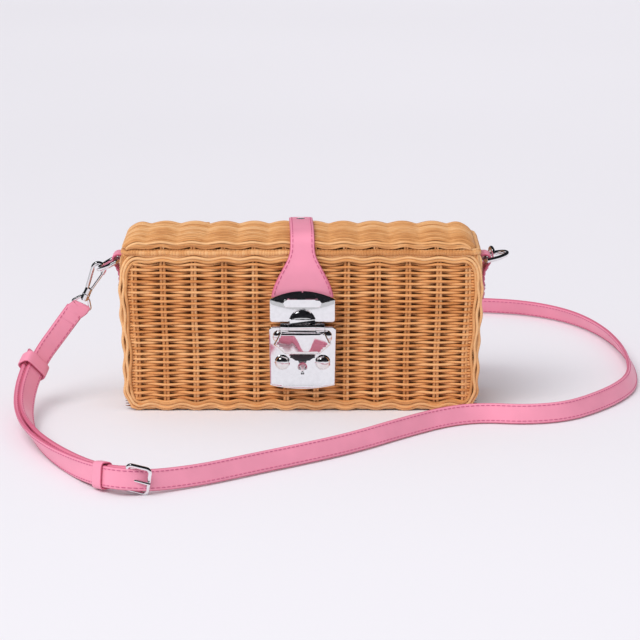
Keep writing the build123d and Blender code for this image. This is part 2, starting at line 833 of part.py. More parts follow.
out_front = (0, -1, 0)
with BuildPart() as lock_studs:
    for side in (-1, 1):
        add(cap((CLASP_X + side * STUD_X, LOCK_FRONT_Y, STUD_Z), out_front, (1, 0, 0), STUD_R, STUD_HEIGHT))
        high = (CLASP_X + side * HIGH_STUD_X, LOCK_FRONT_Y, HIGH_STUD_Z)
        add(cap(high, out_front, (1, 0, 0), HIGH_STUD_R, HIGH_STUD_HEIGHT))
save(lock_studs.part, "lock_studs")

with BuildPart() as catch_disc:
    with BuildSketch(Plane.XZ.offset(-LOCK_FRONT_Y)):
        with Locations((CLASP_X, CATCH_Z)):
            Circle(CATCH_R)
    extrude(amount=LOCK_FRONT_Y - HASP_BACK_Y - 0.2)
save(catch_disc.part, "catch_disc")

backing_y = -INNER_D + STAKE_R
with BuildPart() as lock_backing:
    with BuildSketch(Plane.XZ.offset(-backing_y - 1.2)):
        with Locations((CLASP_X, (RIVET_ROWS[0] + RIVET_ROWS[1]) / 2)):
            RectangleRounded(2 * RIVET_X + 6, RIVET_ROWS[1] - RIVET_ROWS[0] + 7, 2)
    extrude(amount=1.2)
save(lock_backing.part, "lock_backing")

with BuildPart() as lock_rivets:
    with BuildSketch(Plane.XZ.offset(-backing_y)):
        for row_z in RIVET_ROWS:
            with Locations((CLASP_X - RIVET_X, row_z), (CLASP_X + RIVET_X, row_z)):
                Circle(RIVET_R)
    extrude(amount=HALF_D + backing_y)
save(lock_rivets.part, "lock_rivets")


def side_tab():
    """The right leather tab, folded round the bar of its ring."""
    wall_x = HALF_L
    outer_x = wall_x + TAB_FLAT
    with BuildPart() as tab:
        with BuildSketch(Plane.XZ):
            with Locations((TAB_X, TAB_Z)):
                Circle(TAB_FOLD_R)
            with BuildLine():
                Polyline(
                    (wall_x, TAB_LOW + 1),
                    (wall_x, TAB_Z),
                    (TAB_X, TAB_Z),
                    (TAB_X + TAB_FOLD_R - 0.4, TAB_Z - 1.7),
                    (outer_x, TAB_Z - 9),
                    (outer_x, TAB_LOW + 1),
                    (outer_x - 1, TAB_LOW),
                    (wall_x + 1, TAB_LOW),
                    (wall_x, TAB_LOW + 1),
                )
            make_face()
            with BuildLine():
                Polyline(
                    (wall_x, TAB_Z - 2),
                    (wall_x, TAB_Z + 1.5),
                    (TAB_X - 2, TAB_Z + 3.6),
                    (TAB_X, TAB_Z),
                    (wall_x, TAB_Z - 2),
                )
            make_face()
            with Locations((TAB_X, TAB_Z)):
                Circle(RING_WIRE + RUNNING_GAP, mode=Mode.SUBTRACT)
        extrude(amount=TAB_HALF, both=True)
    return tab.part


with BuildPart() as side_tab_right:
    add(side_tab())
save(side_tab_right.part, "side_tab_right")

with BuildPart() as side_tab_left:
    mirror(side_tab_right.part, about=Plane.YZ)
save(side_tab_left.part, "side_tab_left")

rivet_at = (HALF_L + TAB_FLAT, 0, 70.5)
with BuildPart() as side_rivet_right:
    add(cap(rivet_at, (1, 0, 0), (0, 1, 0), 2.6, 1.3))
save(side_rivet_right.part, "side_rivet_right")

with BuildPart() as side_rivet_left:
    mirror(side_rivet_right.part, about=Plane.YZ)
save(side_rivet_left.part, "side_rivet_left")


def d_ring(side, direction):
    """A D-shaped ring whose straight bar lies in the fold of a side tab."""
    ring_plane = Plane(
        origin=(side * TAB_X, 0, TAB_Z),
        x_dir=direction,
        z_dir=Vector(direction).cross(Vector(0, 1, 0)),
    )
    flat = RING_DEPTH - RING_HALF
    corner = RING_CORNER
    with BuildPart() as half:
        with BuildLine(ring_plane) as path:
            Line((0, 0), (0, RING_HALF - corner))
            CenterArc((corner, RING_HALF - corner), corner, 180, -90)
            Line((corner, RING_HALF), (flat, RING_HALF))
            CenterArc((flat, 0), RING_HALF, 90, -90)
        with BuildSketch(Plane(origin=path.wires()[0] @ 0, z_dir=path.wires()[0] % 0)):
            Circle(RING_WIRE)
        sweep(path=path.wires()[0])
    with BuildPart() as ring:
        add(half.part)
        mirror(half.part, about=Plane.XZ)
    return ring.part


with BuildPart() as ring_left:
    add(d_ring(-1, LEFT_RING_DIR))
save(ring_left.part, "ring_left")

with BuildPart() as ring_right:
    add(d_ring(1, RIGHT_RING_DIR))
save(ring_right.part, "ring_right")

# Each hook has its own plane: x across the bow, y back towards the ring
LEFT_HOOK = Plane(origin=(-123.33, 0, 84.43), x_dir=(0.898, 0, -0.435), z_dir=(0, -1, 0))
RIGHT_HOOK = Plane(
    origin=(117.7, 6.6, 90.4), x_dir=(-0.2306, 0.3078, 0.9234), z_dir=(0.961, 0.222, 0.166)
)


def lengthwise(plane, y):
    """A plane square to a hook's length, at the distance y from its top."""
    return Plane(origin=plane.from_local_coords((0, -y, 0)), x_dir=plane.x_dir, z_dir=plane.y_dir * -1)


def hook(plane):
    with BuildPart() as bow:
        with BuildLine(plane) as path:
            FilletPolyline(*BOW, radius=BOW_R)
        wire = path.wires()[0]
        with BuildSketch(Plane(origin=wire @ 0, z_dir=wire % 0)):
            Circle(HOOK_WIRE)
        sweep(path=wire)
        with BuildSketch(lengthwise(plane, NECK_TOP)):
            Circle(NECK_R)
        extrude(amount=NECK_LOW - NECK_TOP)
        with BuildSketch(lengthwise(plane, NECK_LOW)):
            Circle(SHAFT_R)
        extrude(amount=SHAFT_LOW - NECK_LOW)
        with BuildSketch(lengthwise(plane, EYE_LOW + 0.2)):
            Circle(SHAFT_R + 0.6)
        extrude(amount=SHAFT_LOW - EYE_LOW - 0.2)
        with BuildSketch(plane.offset(-GATE_HALF - 0.12)):
            with Locations((GATE_PIVOT[0] + 1.0, GATE_PIVOT[1] + 0.6)):
                Rectangle(2 * GATE_EYE + 2.4, 2 * GATE_EYE + 2.0)
        extrude(amount=2 * GATE_HALF + 0.24, mode=Mode.SUBTRACT)
        with BuildSketch(plane.offset(-GATE_HALF - 0.9)):
            with Locations(GATE_PIVOT):
                Circle(0.5)
        extrude(amount=2 * GATE_HALF + 1.8)
    return bow.part


def gate(plane):
    with BuildPart() as arm:
        low = plane.from_local_coords((*GATE_PIVOT, 0))
        high = plane.from_local_coords((*GATE_TOP, 0))
        with BuildSketch(Plane(origin=low, z_dir=high - low)):
            Circle(GATE_HALF)
        extrude(amount=(high - low).length)
        with BuildSketch(plane.offset(-GATE_HALF)):
            with Locations(GATE_PIVOT):
                Circle(GATE_EYE)
        extrude(amount=2 * GATE_HALF)
        with BuildSketch(plane.offset(-GATE_HALF)):
            with Locations(GATE_PIVOT):
                Circle(0.5 + RUNNING_GAP)
        extrude(amount=2 * GATE_HALF, mode=Mode.SUBTRACT)
    return arm.part


def eye(plane):
    """The swivel's barrel with the flat loop that holds the strap's end."""
    with BuildPart() as swivel:
        with BuildLine(plane) as half:
            FilletPolyline((0, -EYE_LOW + 0.9), (2.6, -EYE_LOW + 0.9), (EYE_HALF, -EYE_BAR), (0, -EYE_BAR), radius=1.4)
        wire = half.wires()[0]
        with BuildSketch(Plane(origin=wire @ 0, z_dir=wire % 0)):
            Circle(EYE_WIRE)
        sweep(path=wire)
        mirror(about=Plane(origin=plane.origin, x_dir=plane.y_dir, z_dir=plane.x_dir))
        with BuildSketch(lengthwise(plane, EYE_TOP)):
            Circle(EYE_R)
        extrude(amount=EYE_LOW - EYE_TOP)
        with BuildSketch(lengthwise(plane, EYE_TOP - 1)):
            Circle(SHAFT_R + RUNNING_GAP)
        extrude(amount=EYE_LOW - EYE_TOP + 2, mode=Mode.SUBTRACT)
        with BuildSketch(lengthwise(plane, EYE_LOW)):
            Circle(SHAFT_R + 0.9)
        extrude(amount=2, mode=Mode.SUBTRACT)
    return swivel.part


for side_name, hook_plane in (("left", LEFT_HOOK), ("right", RIGHT_HOOK)):
    save(hook(hook_plane), f"hook_{side_name}")
    save(gate(hook_plane), f"gate_{side_name}")
    save(eye(hook_plane), f"eye_{side_name}")


def route_radii(route, name):
    """Each corner's radius: as large as its two runs allow."""
    points = [Vector(*p) for p in route]
    radii = []
    for a, b, c in zip(points, points[1:], points[2:]):
        turn = math.radians((b - a).get_angle(c - b))
        run = min((b - a).length, (c - b).length)
        radii.append(ARC_SHARE * run / math.tan(turn / 2))
    print(name, "radii", [round(r) for r in radii])
    return radii


def strap_band(route, lean, name):
    """A flat band swept along its route, leaning by an angle at its first end."""
    radii = route_radii(route, name)
    with BuildLine() as path:
        FilletPolyline(*route, radius=radii)
    wire = path.wires()[0]
    heading = (wire % 0).normalized()
    across = heading.cross(Vector(0, 0, 1)).rotate(Axis((0, 0, 0), heading), lean)
    flat = Plane(origin=wire @ 0, x_dir=across, z_dir=heading)
    with BuildPart() as band:
        with BuildSketch(flat):
            Rectangle(STRAP_THICK, STRAP_WIDTH)
        sweep(path=wire)
    print(name, "length", round(wire.length, 1), "volume", round(band.part.volume))
    print(name, "section times length", round(STRAP_THICK * STRAP_WIDTH * wire.length))
    return band.part


BUCKLE = Plane(origin=BUCKLE_AT, x_dir=BUCKLE_ALONG, z_dir=BUCKLE_LEAN)

with BuildPart() as strap_short:
    add(strap_band(SHORT_ROUTE, SHORT_LEAN, "strap_short"))
save(strap_short.part, "strap_short")

with BuildPart() as strap_long:
    add(strap_band(LONG_ROUTE, LONG_LEAN, "strap_long"))
    with BuildSketch(BUCKLE.offset(-4)):
        with Locations((PRONG_HOLE_U, 0)):
            SlotOverall(PRONG_HOLE_LONG, PRONG_HOLE_WIDE)
    extrude(amount=9, mode=Mode.SUBTRACT)
save(strap_long.part, "strap_long")

# Buckle: a wire frame, and a prong on its left bar
with BuildPart() as buckle_frame:
    with BuildLine(BUCKLE) as frame_half:
        FilletPolyline(
            (-BUCKLE_HALF_U, 0),
            (-BUCKLE_HALF_U, BUCKLE_HALF_W),
            (BUCKLE_HALF_U, BUCKLE_HALF_W),
            (BUCKLE_HALF_U, 0),
            radius=2.4,
        )
    frame_wire = frame_half.wires()[0]
    with BuildSketch(Plane(origin=frame_wire @ 0, z_dir=frame_wire % 0)):
        Circle(BUCKLE_WIRE)
    sweep(path=frame_wire)
    mirror(about=Plane(origin=BUCKLE.origin, x_dir=BUCKLE.x_dir, z_dir=BUCKLE.y_dir))
save(buckle_frame.part, "buckle_frame")

with BuildPart() as buckle_prong:
    collar = BUCKLE_WIRE + RUNNING_GAP
    heel = BUCKLE.from_local_coords((-BUCKLE_HALF_U, 0, 0))
    with BuildSketch(Plane(origin=heel, x_dir=BUCKLE.x_dir, z_dir=BUCKLE.y_dir)):
        Circle(collar + 0.8)
    extrude(amount=1.3, both=True)
    prong_lift = BUCKLE_WIRE + PRONG_R + 0.25
    start = BUCKLE.from_local_coords((-BUCKLE_HALF_U, 0, 1.6))
    end = BUCKLE.from_local_coords((BUCKLE_HALF_U + 1.6, 0, prong_lift))
    with BuildSketch(Plane(origin=start, z_dir=end - start)):
        Circle(PRONG_R)
    extrude(amount=(end - start).length)
    with BuildSketch(Plane(origin=heel, x_dir=BUCKLE.x_dir, z_dir=BUCKLE.y_dir)):
        Circle(collar)
    extrude(amount=2, both=True, mode=Mode.SUBTRACT)
save(buckle_prong.part, "buckle_prong")


def keeper(at, along, up, room):
    """A leather loop round both layers of the strap."""
    base = Plane(origin=at, x_dir=Vector(*up).cross(Vector(*along)), z_dir=along)
    wide, tall = room
    with BuildPart() as loop:
        with BuildSketch(base):
            RectangleRounded(wide + 2 * KEEPER_THICK, tall + 2 * KEEPER_THICK, 1.8)
            RectangleRounded(wide, tall, 0.7, mode=Mode.SUBTRACT)
        extrude(amount=KEEPER_LONG / 2, both=True)
    return loop.part


with BuildPart() as keeper_fixed:
    add(keeper(FIXED_KEEPER_AT, FIXED_KEEPER_ALONG, FIXED_KEEPER_UP, FIXED_KEEPER_ROOM))
save(keeper_fixed.part, "keeper_fixed")

with BuildPart() as keeper_free:
    add(keeper(FREE_KEEPER_AT, FREE_KEEPER_ALONG, FREE_KEEPER_UP, FREE_KEEPER_ROOM))
save(keeper_free.part, "keeper_free")
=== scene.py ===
import math

import bmesh
import bpy
import numpy as np
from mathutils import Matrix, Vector


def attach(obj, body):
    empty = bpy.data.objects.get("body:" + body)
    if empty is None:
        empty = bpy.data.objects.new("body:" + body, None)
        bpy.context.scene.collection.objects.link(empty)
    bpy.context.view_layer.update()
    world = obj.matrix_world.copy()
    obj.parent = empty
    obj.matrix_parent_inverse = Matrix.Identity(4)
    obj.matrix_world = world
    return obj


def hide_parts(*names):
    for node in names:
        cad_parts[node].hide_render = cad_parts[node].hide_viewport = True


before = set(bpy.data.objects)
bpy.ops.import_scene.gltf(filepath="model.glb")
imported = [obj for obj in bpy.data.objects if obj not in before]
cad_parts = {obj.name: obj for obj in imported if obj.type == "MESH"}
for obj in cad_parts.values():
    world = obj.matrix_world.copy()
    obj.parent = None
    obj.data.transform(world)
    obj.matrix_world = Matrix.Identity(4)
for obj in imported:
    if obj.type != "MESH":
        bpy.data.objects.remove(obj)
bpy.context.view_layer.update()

# Driving sizes in millimetres, in the frame of the CAD model
MM = 0.001
HALF_L = 107.5
HALF_D = 33.0
STAKE_PITCH = 18.1
STAKES = 10
FIRST_STAKE = -STAKE_PITCH * (STAKES - 1) / 2
END_STAKE_X = 98.5
WALL_MID = 30.9
WALL_TOP = 92.4

# The basket's extra width, as a share, and how far it sits to the left
WIDER_LOW = 0.004
WIDER_HIGH = 0.018
WIDER_FROM_Z = 30
WIDER_TO_Z = 72
BODY_SHIFT = 0.3

# A strand is thin at an open end, drifts in tone and has painted shade on its flanks
TIP_SHARE = 0.15
TONE_DRIFT = 0.03
FLANK = 0.75

RNG = np.random.default_rng(7)


# Helpers for meshes


def unit(v):
    v = np.asarray(v, float)
    return v / np.maximum(np.linalg.norm(v, axis=-1, keepdims=True), 1e-12)


def square_to(wide, along):
    """The part of wide that is square to along, with length 1."""
    return unit(wide - along * np.sum(wide * along, -1, keepdims=True))


def distance_run(points):
    """The distance run along a line at each of its points."""
    return np.concatenate([[0], np.cumsum(np.linalg.norm(np.diff(points, axis=0), axis=1))])


def smoothed(values, reach):
    """Each value averaged with its neighbours on both sides."""
    count = 2 * reach + 1
    return np.convolve(np.pad(values, reach, mode="edge"), np.ones(count) / count, "valid")


def mesh_object(name, verts, quads, material, tone=None, edge=None, painted_shade=None):
    """A smooth mesh of quads in millimetres. Tone, edge and painted shade are channels of one colour
    layer.
    """
    mesh = bpy.data.meshes.new(name)
    verts = np.asarray(verts, float).reshape(-1, 3) * MM
    quads = np.asarray(quads, np.int32).reshape(-1, 4)
    mesh.vertices.add(len(verts))
    mesh.vertices.foreach_set("co", verts.ravel())
    mesh.loops.add(quads.size)
    mesh.loops.foreach_set("vertex_index", quads.ravel())
    mesh.polygons.add(len(quads))
    mesh.polygons.foreach_set("loop_start", np.arange(0, quads.size, 4, dtype=np.int32))
    mesh.polygons.foreach_set("loop_total", np.full(len(quads), 4, np.int32))
    mesh.update(calc_edges=True)
    mesh.validate()
    mesh.polygons.foreach_set("use_smooth", np.ones(len(mesh.polygons), bool))
    if tone is not None or edge is not None:
        colour = np.zeros((len(verts), 4))
        for channel, values in enumerate((tone, edge, painted_shade)):
            if values is not None:
                colour[:, channel] = np.asarray(values, float).ravel()
        layer = mesh.color_attributes.new("tone", "FLOAT_COLOR", "POINT")
        layer.data.foreach_set("color", colour.ravel())
    obj = bpy.data.objects.new(name, mesh)
    bpy.context.scene.collection.objects.link(obj)
    obj.data.materials.append(material)
    return obj


def grid_quads(rows, columns, wrap_columns=False, wrap_rows=False):
    """Quads between the points of a grid."""
    row_count = rows if wrap_rows else rows - 1
    col_count = columns if wrap_columns else columns - 1
    i, j = np.meshgrid(np.arange(row_count), np.arange(col_count), indexing="ij")
    i2 = (i + 1) % rows
    j2 = (j + 1) % columns
    corners = [i * columns + j, i * columns + j2, i2 * columns + j2, i2 * columns + j]
    return np.stack(corners, -1).reshape(-1, 4)


def tubes(
    name, paths, outs, radius, material,
    sides=6, thick=None, closed=False, tones=None, painted_shade=0.0, painted_flank_shade=0.3,
):
    """Strands along paths, an array of (strand, point, 3), with their outer side towards outs.

    thick limits their height. The last two arguments paint shade, at places along them and on their
    flanks.
    """
    paths = np.asarray(paths, float)
    count, samples = paths.shape[:2]
    if closed:
        along = np.roll(paths, -1, 1) - np.roll(paths, 1, 1)
    else:
        along = np.gradient(paths, axis=1)
    along = unit(along)
    outs = np.broadcast_to(np.asarray(outs, float), paths.shape)
    up = square_to(outs, along)
    side = np.cross(along, up)
    radius = np.broadcast_to(np.asarray(radius, float), (count, samples)).copy()
    if not closed:
        radius[:, 0] *= TIP_SHARE
        radius[:, -1] *= TIP_SHARE
    angle = 2 * np.pi * (np.arange(sides) + 0.5) / sides
    rise = radius if thick is None else np.minimum(radius, thick)
    verts = (
        paths[:, :, None, :]
        + rise[:, :, None, None] * np.cos(angle)[:, None] * up[:, :, None, :]
        + radius[:, :, None, None] * np.sin(angle)[:, None] * side[:, :, None, :]
    )
    one = grid_quads(samples, sides, True, closed)
    quads = (one[None] + (np.arange(count) * samples * sides)[:, None, None]).reshape(-1, 4)
    if tones is None:
        tones = RNG.random((count, 1))
    drift = np.cumsum(RNG.normal(0, TONE_DRIFT, (count, samples)), 1)
    tone = np.clip(tones + drift - drift.mean(1, keepdims=True), 0, 1)
    tone = np.repeat(tone[:, :, None], sides, 2)
    # Painted shade on the flanks of each strand, joined with the painted shade along it
    flank = painted_flank_shade * np.clip((FLANK - np.cos(angle)) / FLANK, 0, 1)
    shade = np.broadcast_to(np.asarray(painted_shade, float), (count, samples))[:, :, None]
    shade = 1 - (1 - shade) * (1 - flank)
    return mesh_object(name, verts, quads, material, tone=tone, painted_shade=shade)


def waver(count, s, size, length):
    """A slow random wander for each strand, along a distance s."""
    total = np.zeros((count, len(s)))
    for k in (1.0, 1.9, 3.3):
        phase = RNG.uniform(0, 2 * np.pi, (count, 1))
        total += np.sin(s[None] * 2 * np.pi * k / length + phase) / k
    return total * size


# Materials


def new_material(name):
    material = bpy.data.materials.new(name)
    material.use_nodes = True
    tree = material.node_tree
    shader = tree.nodes["Principled BSDF"]
    return material, tree, shader


def add_node(tree, kind, **values):
    node = tree.nodes.new(kind)
    for key, value in values.items():
        setattr(node, key, value)
    return node


def ramp_node(tree, stops):
    node = tree.nodes.new("ShaderNodeValToRGB")
    while len(node.color_ramp.elements) < len(stops):
        node.color_ramp.elements.new(0.5)
    for element, (place, colour) in zip(node.color_ramp.elements, stops):
        element.position = place
        element.color = (*colour, 1)
    return node


# Each set of tones is light, middle and dark
HONEY_TONES = ((0.90, 0.53, 0.25), (0.78, 0.38, 0.14), (0.55, 0.22, 0.065))
WALL_TONES = ((0.93, 0.50, 0.21), (0.81, 0.36, 0.12), (0.62, 0.23, 0.06))
# Dark tones of painted shade for the strands inside the walls
PAINTED_SHADE_TONES = ((0.22, 0.065, 0.02), (0.22, 0.065, 0.02), (0.10, 0.028, 0.01))
# Colour of painted shade in crevices and on the flanks of strands
PAINTED_CREVICE_SHADE = (0.17, 0.045, 0.014)
FIBRES_ALONG_X = (90, 1600, 1600)
FIBRES_UPRIGHT = (1600, 1600, 90)


def rattan(name, tones, stretch):
    """Peeled rattan: fine fibres along the strand, a tone for each strand, and a dark colour of painted
    shade mixed in by the blue channel of tone.
    """
    light, mid, dark = tones
    material, tree, shader = new_material(name)
    link = tree.links.new
    coords = add_node(tree, "ShaderNodeTexCoord")
    mapping = add_node(tree, "ShaderNodeMapping")
    mapping.inputs["Scale"].default_value = stretch
    link(coords.outputs["Object"], mapping.inputs["Vector"])
    fibre = add_node(tree, "ShaderNodeTexNoise")
    fibre.inputs["Scale"].default_value = 1.0
    fibre.inputs["Detail"].default_value = 3.0
    link(mapping.outputs["Vector"], fibre.inputs["Vector"])
    blotch = add_node(tree, "ShaderNodeTexNoise")
    blotch.inputs["Scale"].default_value = 160.0
    blotch.inputs["Detail"].default_value = 3.0
    link(coords.outputs["Object"], blotch.inputs["Vector"])
    tone = add_node(tree, "ShaderNodeAttribute", attribute_name="tone")
    split = add_node(tree, "ShaderNodeSeparateColor")
    link(tone.outputs["Color"], split.inputs["Color"])
    first = add_node(tree, "ShaderNodeMath", operation="MULTIPLY_ADD")
    first.inputs[1].default_value = 0.45
    link(split.outputs["Red"], first.inputs[0])
    half = add_node(tree, "ShaderNodeMath", operation="MULTIPLY")
    half.inputs[1].default_value = 0.35
    link(fibre.outputs["Fac"], half.inputs[0])
    link(half.outputs["Value"], first.inputs[2])
    total = add_node(tree, "ShaderNodeMath", operation="MULTIPLY_ADD")
    total.inputs[1].default_value = 0.35
    link(blotch.outputs["Fac"], total.inputs[0])
    link(first.outputs["Value"], total.inputs[2])
    ramp = ramp_node(tree, [(0.25, dark), (0.55, mid), (0.85, light)])
    link(total.outputs["Value"], ramp.inputs["Fac"])
    deep = add_node(tree, "ShaderNodeMix", data_type="RGBA")
    link(split.outputs["Blue"], deep.inputs["Factor"])
    link(ramp.outputs["Color"], deep.inputs["A"])
    deep.inputs["B"].default_value = (*PAINTED_CREVICE_SHADE, 1)
    link(deep.outputs["Result"], shader.inputs["Base Color"])
    bump = add_node(tree, "ShaderNodeBump")
    bump.inputs["Strength"].default_value = 0.25
    bump.inputs["Distance"].default_value = 0.0002
    link(fibre.outputs["Fac"], bump.inputs["Height"])
    link(bump.outputs["Normal"], shader.inputs["Normal"])
    shader.inputs["Roughness"].default_value = 0.42
    shader.inputs["Specular IOR Level"].default_value = 0.45
    return material


RATTAN_X = rattan("rattan_along_x", HONEY_TONES, FIBRES_ALONG_X)
RATTAN_Z = rattan("rattan_upright", HONEY_TONES, FIBRES_UPRIGHT)
RATTAN_WALL = rattan("rattan_wall", WALL_TONES, FIBRES_ALONG_X)
RATTAN_PAINTED_SHADE = rattan("rattan_painted_shade", PAINTED_SHADE_TONES, FIBRES_ALONG_X)


def leather(name, colour, edge_colour):
    """Smooth grained leather. The green channel of tone marks the painted edge."""
    material, tree, shader = new_material(name)
    link = tree.links.new
    coords = add_node(tree, "ShaderNodeTexCoord")
    grain = add_node(tree, "ShaderNodeTexNoise")
    grain.inputs["Scale"].default_value = 1800.0
    grain.inputs["Detail"].default_value = 4.0
    link(coords.outputs["Object"], grain.inputs["Vector"])
    cloud = add_node(tree, "ShaderNodeTexNoise")
    cloud.inputs["Scale"].default_value = 45.0
    link(coords.outputs["Object"], cloud.inputs["Vector"])
    deep = tuple(c * 0.90 for c in colour)
    body = ramp_node(tree, [(0.3, deep), (0.7, colour)])
    link(cloud.outputs["Fac"], body.inputs["Fac"])
    tone = add_node(tree, "ShaderNodeAttribute", attribute_name="tone")
    split = add_node(tree, "ShaderNodeSeparateColor")
    link(tone.outputs["Color"], split.inputs["Color"])
    edge = add_node(tree, "ShaderNodeMix", data_type="RGBA")
    link(split.outputs["Green"], edge.inputs["Factor"])
    link(body.outputs["Color"], edge.inputs["A"])
    edge.inputs["B"].default_value = (*edge_colour, 1)
    link(edge.outputs["Result"], shader.inputs["Base Color"])
    bump = add_node(tree, "ShaderNodeBump")
    bump.inputs["Strength"].default_value = 0.12
    bump.inputs["Distance"].default_value = 0.0001
    link(grain.outputs["Fac"], bump.inputs["Height"])
    link(bump.outputs["Normal"], shader.inputs["Normal"])
    shader.inputs["Roughness"].default_value = 0.40
    shader.inputs["Specular IOR Level"].default_value = 0.5
    return material


PINK = leather("pink_leather", (0.93, 0.33, 0.46), (0.66, 0.14, 0.24))


def plain(name, colour, rough, metallic=0.0, grain=900.0, strength=0.05):
    """One colour, with a faint grain in its tone and its surface."""
    material, tree, shader = new_material(name)
    link = tree.links.new
    coords = add_node(tree, "ShaderNodeTexCoord")
    noise = add_node(tree, "ShaderNodeTexNoise")
    noise.inputs["Scale"].default_value = grain
    link(coords.outputs["Object"], noise.inputs["Vector"])
    ramp = ramp_node(tree, [(0.35, tuple(c * 0.94 for c in colour)), (0.65, colour)])
    link(noise.outputs["Fac"], ramp.inputs["Fac"])
    link(ramp.outputs["Color"], shader.inputs["Base Color"])
    bump = add_node(tree, "ShaderNodeBump")
    bump.inputs["Strength"].default_value = strength
    bump.inputs["Distance"].default_value = 0.00005
    link(noise.outputs["Fac"], bump.inputs["Height"])
    link(bump.outputs["Normal"], shader.inputs["Normal"])
    shader.inputs["Roughness"].default_value = rough
    shader.inputs["Metallic"].default_value = metallic
    return material


CHROME = plain("polished_metal", (0.90, 0.90, 0.91), 0.045, 1.0, 500.0, 0.01)
STEEL = plain("plain_steel", (0.55, 0.55, 0.57), 0.35, 1.0)
# Near black metal: painted shade for a hollow
PAINTED_SHADE_METAL = plain("metal_painted_shade", (0.03, 0.03, 0.035), 0.15, 0.4)
THREAD = plain("pink_thread", (0.64, 0.13, 0.27), 0.7, 0.0, 3000.0, 0.3)
FLOOR_PAINT = plain("floor_paper", (0.84, 0.825, 0.86), 0.95, 0.0, 0.5, 0.0)


def paint(name, material):
    """Gives a solid of the frame its material."""
    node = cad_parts[name]
    node.data.materials.clear()
    node.data.materials.append(material)


# The woven walls

WALL_ROWS = 52
FIRST_ROW_Z = 2.9
ROW_PITCH = 1.72
ROW_END = 103.6
STRAND_R = 0.92
STRAND_SQUEEZE = 0.10
ROD_R = 0.98

# A row swings out over a stake, dips behind the next one and is calm near its ends
WEAVE_SWING = 1.35
DIP_POWER = 1.7
DIP_EXTRA = 0.4
# How much painted shade darkens a row where it dips
DIP_SHADE = 0.70
CALM_FROM_X = 98.0
CALM_TO_X = 101.0

# At a stake the lowest rows bend down and the highest up, and both dip less
LOW_BEND = 0.85
HIGH_BEND = 0.60
LOW_CLOSED = 0.5
HIGH_CLOSED = 0.75

# The inner layer of strands
INNER_FIRST_Z = 2.2
INNER_PITCH = 1.5
INNER_DEPTH = 3.4
INNER_R = 0.95


def stake_xs():
    """Places of the stakes along the front."""
    return FIRST_STAKE + STAKE_PITCH * np.arange(STAKES)


def scallop(x):
    """1 at each stake and -1 halfway between two."""
    return np.cos(2 * np.pi * (x - FIRST_STAKE) / STAKE_PITCH)


def smooth_step(value, low, high):
    t = np.clip((value - low) / (high - low), 0, 1)
    return t * t * (3 - 2 * t)


def flare(points):
    """The basket is a little wider above its middle, and sits a little to the left."""
    points = np.array(points, float)
    wider = WIDER_LOW + WIDER_HIGH * smooth_step(points[..., 2], WIDER_FROM_Z, WIDER_TO_Z)
    points[..., 0] = points[..., 0] * (1 + wider) - BODY_SHIFT
    return points


def woven(piece, body, *nodes):
    """Ties a rattan piece to its body and hides the solids that it stands for."""
    if nodes:
        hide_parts(*nodes)
    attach(piece, body)


def wall_weave(name, side, samples_per_pitch, node):
    """Rows that pass in front of every second stake. side is -1 at the front."""
    samples = int(2 * ROW_END / STAKE_PITCH * samples_per_pitch)
    x = np.linspace(-ROW_END, ROW_END, samples)
    rows = np.arange(WALL_ROWS)
    z = (FIRST_ROW_Z + ROW_PITCH * rows)[:, None] + np.zeros((1, samples))
    z = z + RNG.normal(0, 0.08, (WALL_ROWS, 1)) + waver(WALL_ROWS, x, 0.10, 70.0)
    z = z - LOW_BEND * scallop(x) * np.exp(-(z - 3.0) / 7.0)
    z = z + HIGH_BEND * scallop(x) * np.exp(-(WALL_TOP - z) / 6.0)
    swing = np.cos(np.pi * (x[None] - FIRST_STAKE) / STAKE_PITCH + np.pi * rows[:, None])
    swing = np.where(swing < 0, -np.abs(swing) ** DIP_POWER, swing)
    swing = swing * (1 - smooth_step(np.abs(x), CALM_FROM_X, CALM_TO_X))
    open_rows = 1 - HIGH_CLOSED * smooth_step(z, 82, 91) - LOW_CLOSED * (1 - smooth_step(z, 5, 10))
    amplitude = WEAVE_SWING * (1 + RNG.normal(0, 0.06, (WALL_ROWS, 1)))
    bury = DIP_EXTRA * np.clip(-swing, 0, 1) * open_rows
    y = side * (WALL_MID + amplitude * swing - bury + waver(WALL_ROWS, x, 0.06, 50.0))
    paths = flare(np.stack([np.broadcast_to(x, z.shape), y, z], -1))
    radius = STRAND_R * (1 + RNG.normal(0, 0.05, (WALL_ROWS, 1)) + waver(WALL_ROWS, x, 0.03, 40.0))
    radius = radius * (1 - STRAND_SQUEEZE * np.abs(swing) * open_rows)
    # Painted shade where a row dips behind a stake
    painted_shade = DIP_SHADE * smooth_step(-swing, 0.2, 0.85) * open_rows
    piece = tubes(name, paths, (0, side, 0), radius, RATTAN_WALL, painted_shade=painted_shade)
    woven(piece, "basket", node)


def upright_rods(name, side, node):
    """Two rods side by side at each stake."""
    places = np.concatenate([[-END_STAKE_X], stake_xs(), [END_STAKE_X]])
    z = np.linspace(3.0, WALL_TOP + 2, 24)
    paths = []
    for x in places:
        for shift in (-ROD_R, ROD_R):
            bow = waver(1, z, 0.08, 60.0)[0]
            paths.append(np.stack([x + shift + bow, np.full_like(z, side * WALL_MID), z], -1))
    piece = tubes(name, flare(paths), (0, side, 0), ROD_R, RATTAN_Z, sides=10)
    woven(piece, "basket", node)


def inner_wall(name, side):
    """Closely laid strands on the inside, dark with painted shade behind the open rows."""
    x = np.linspace(-ROW_END - 3, ROW_END + 3, 30)
    z = np.arange(INNER_FIRST_Z, WALL_TOP + 4, INNER_PITCH)
    paths = np.stack(np.broadcast_arrays(x[None], side * (WALL_MID - INNER_DEPTH), z[:, None]), -1)
    piece = tubes(name, flare(paths), (0, side, 0), INNER_R, RATTAN_PAINTED_SHADE)
    woven(piece, "basket")


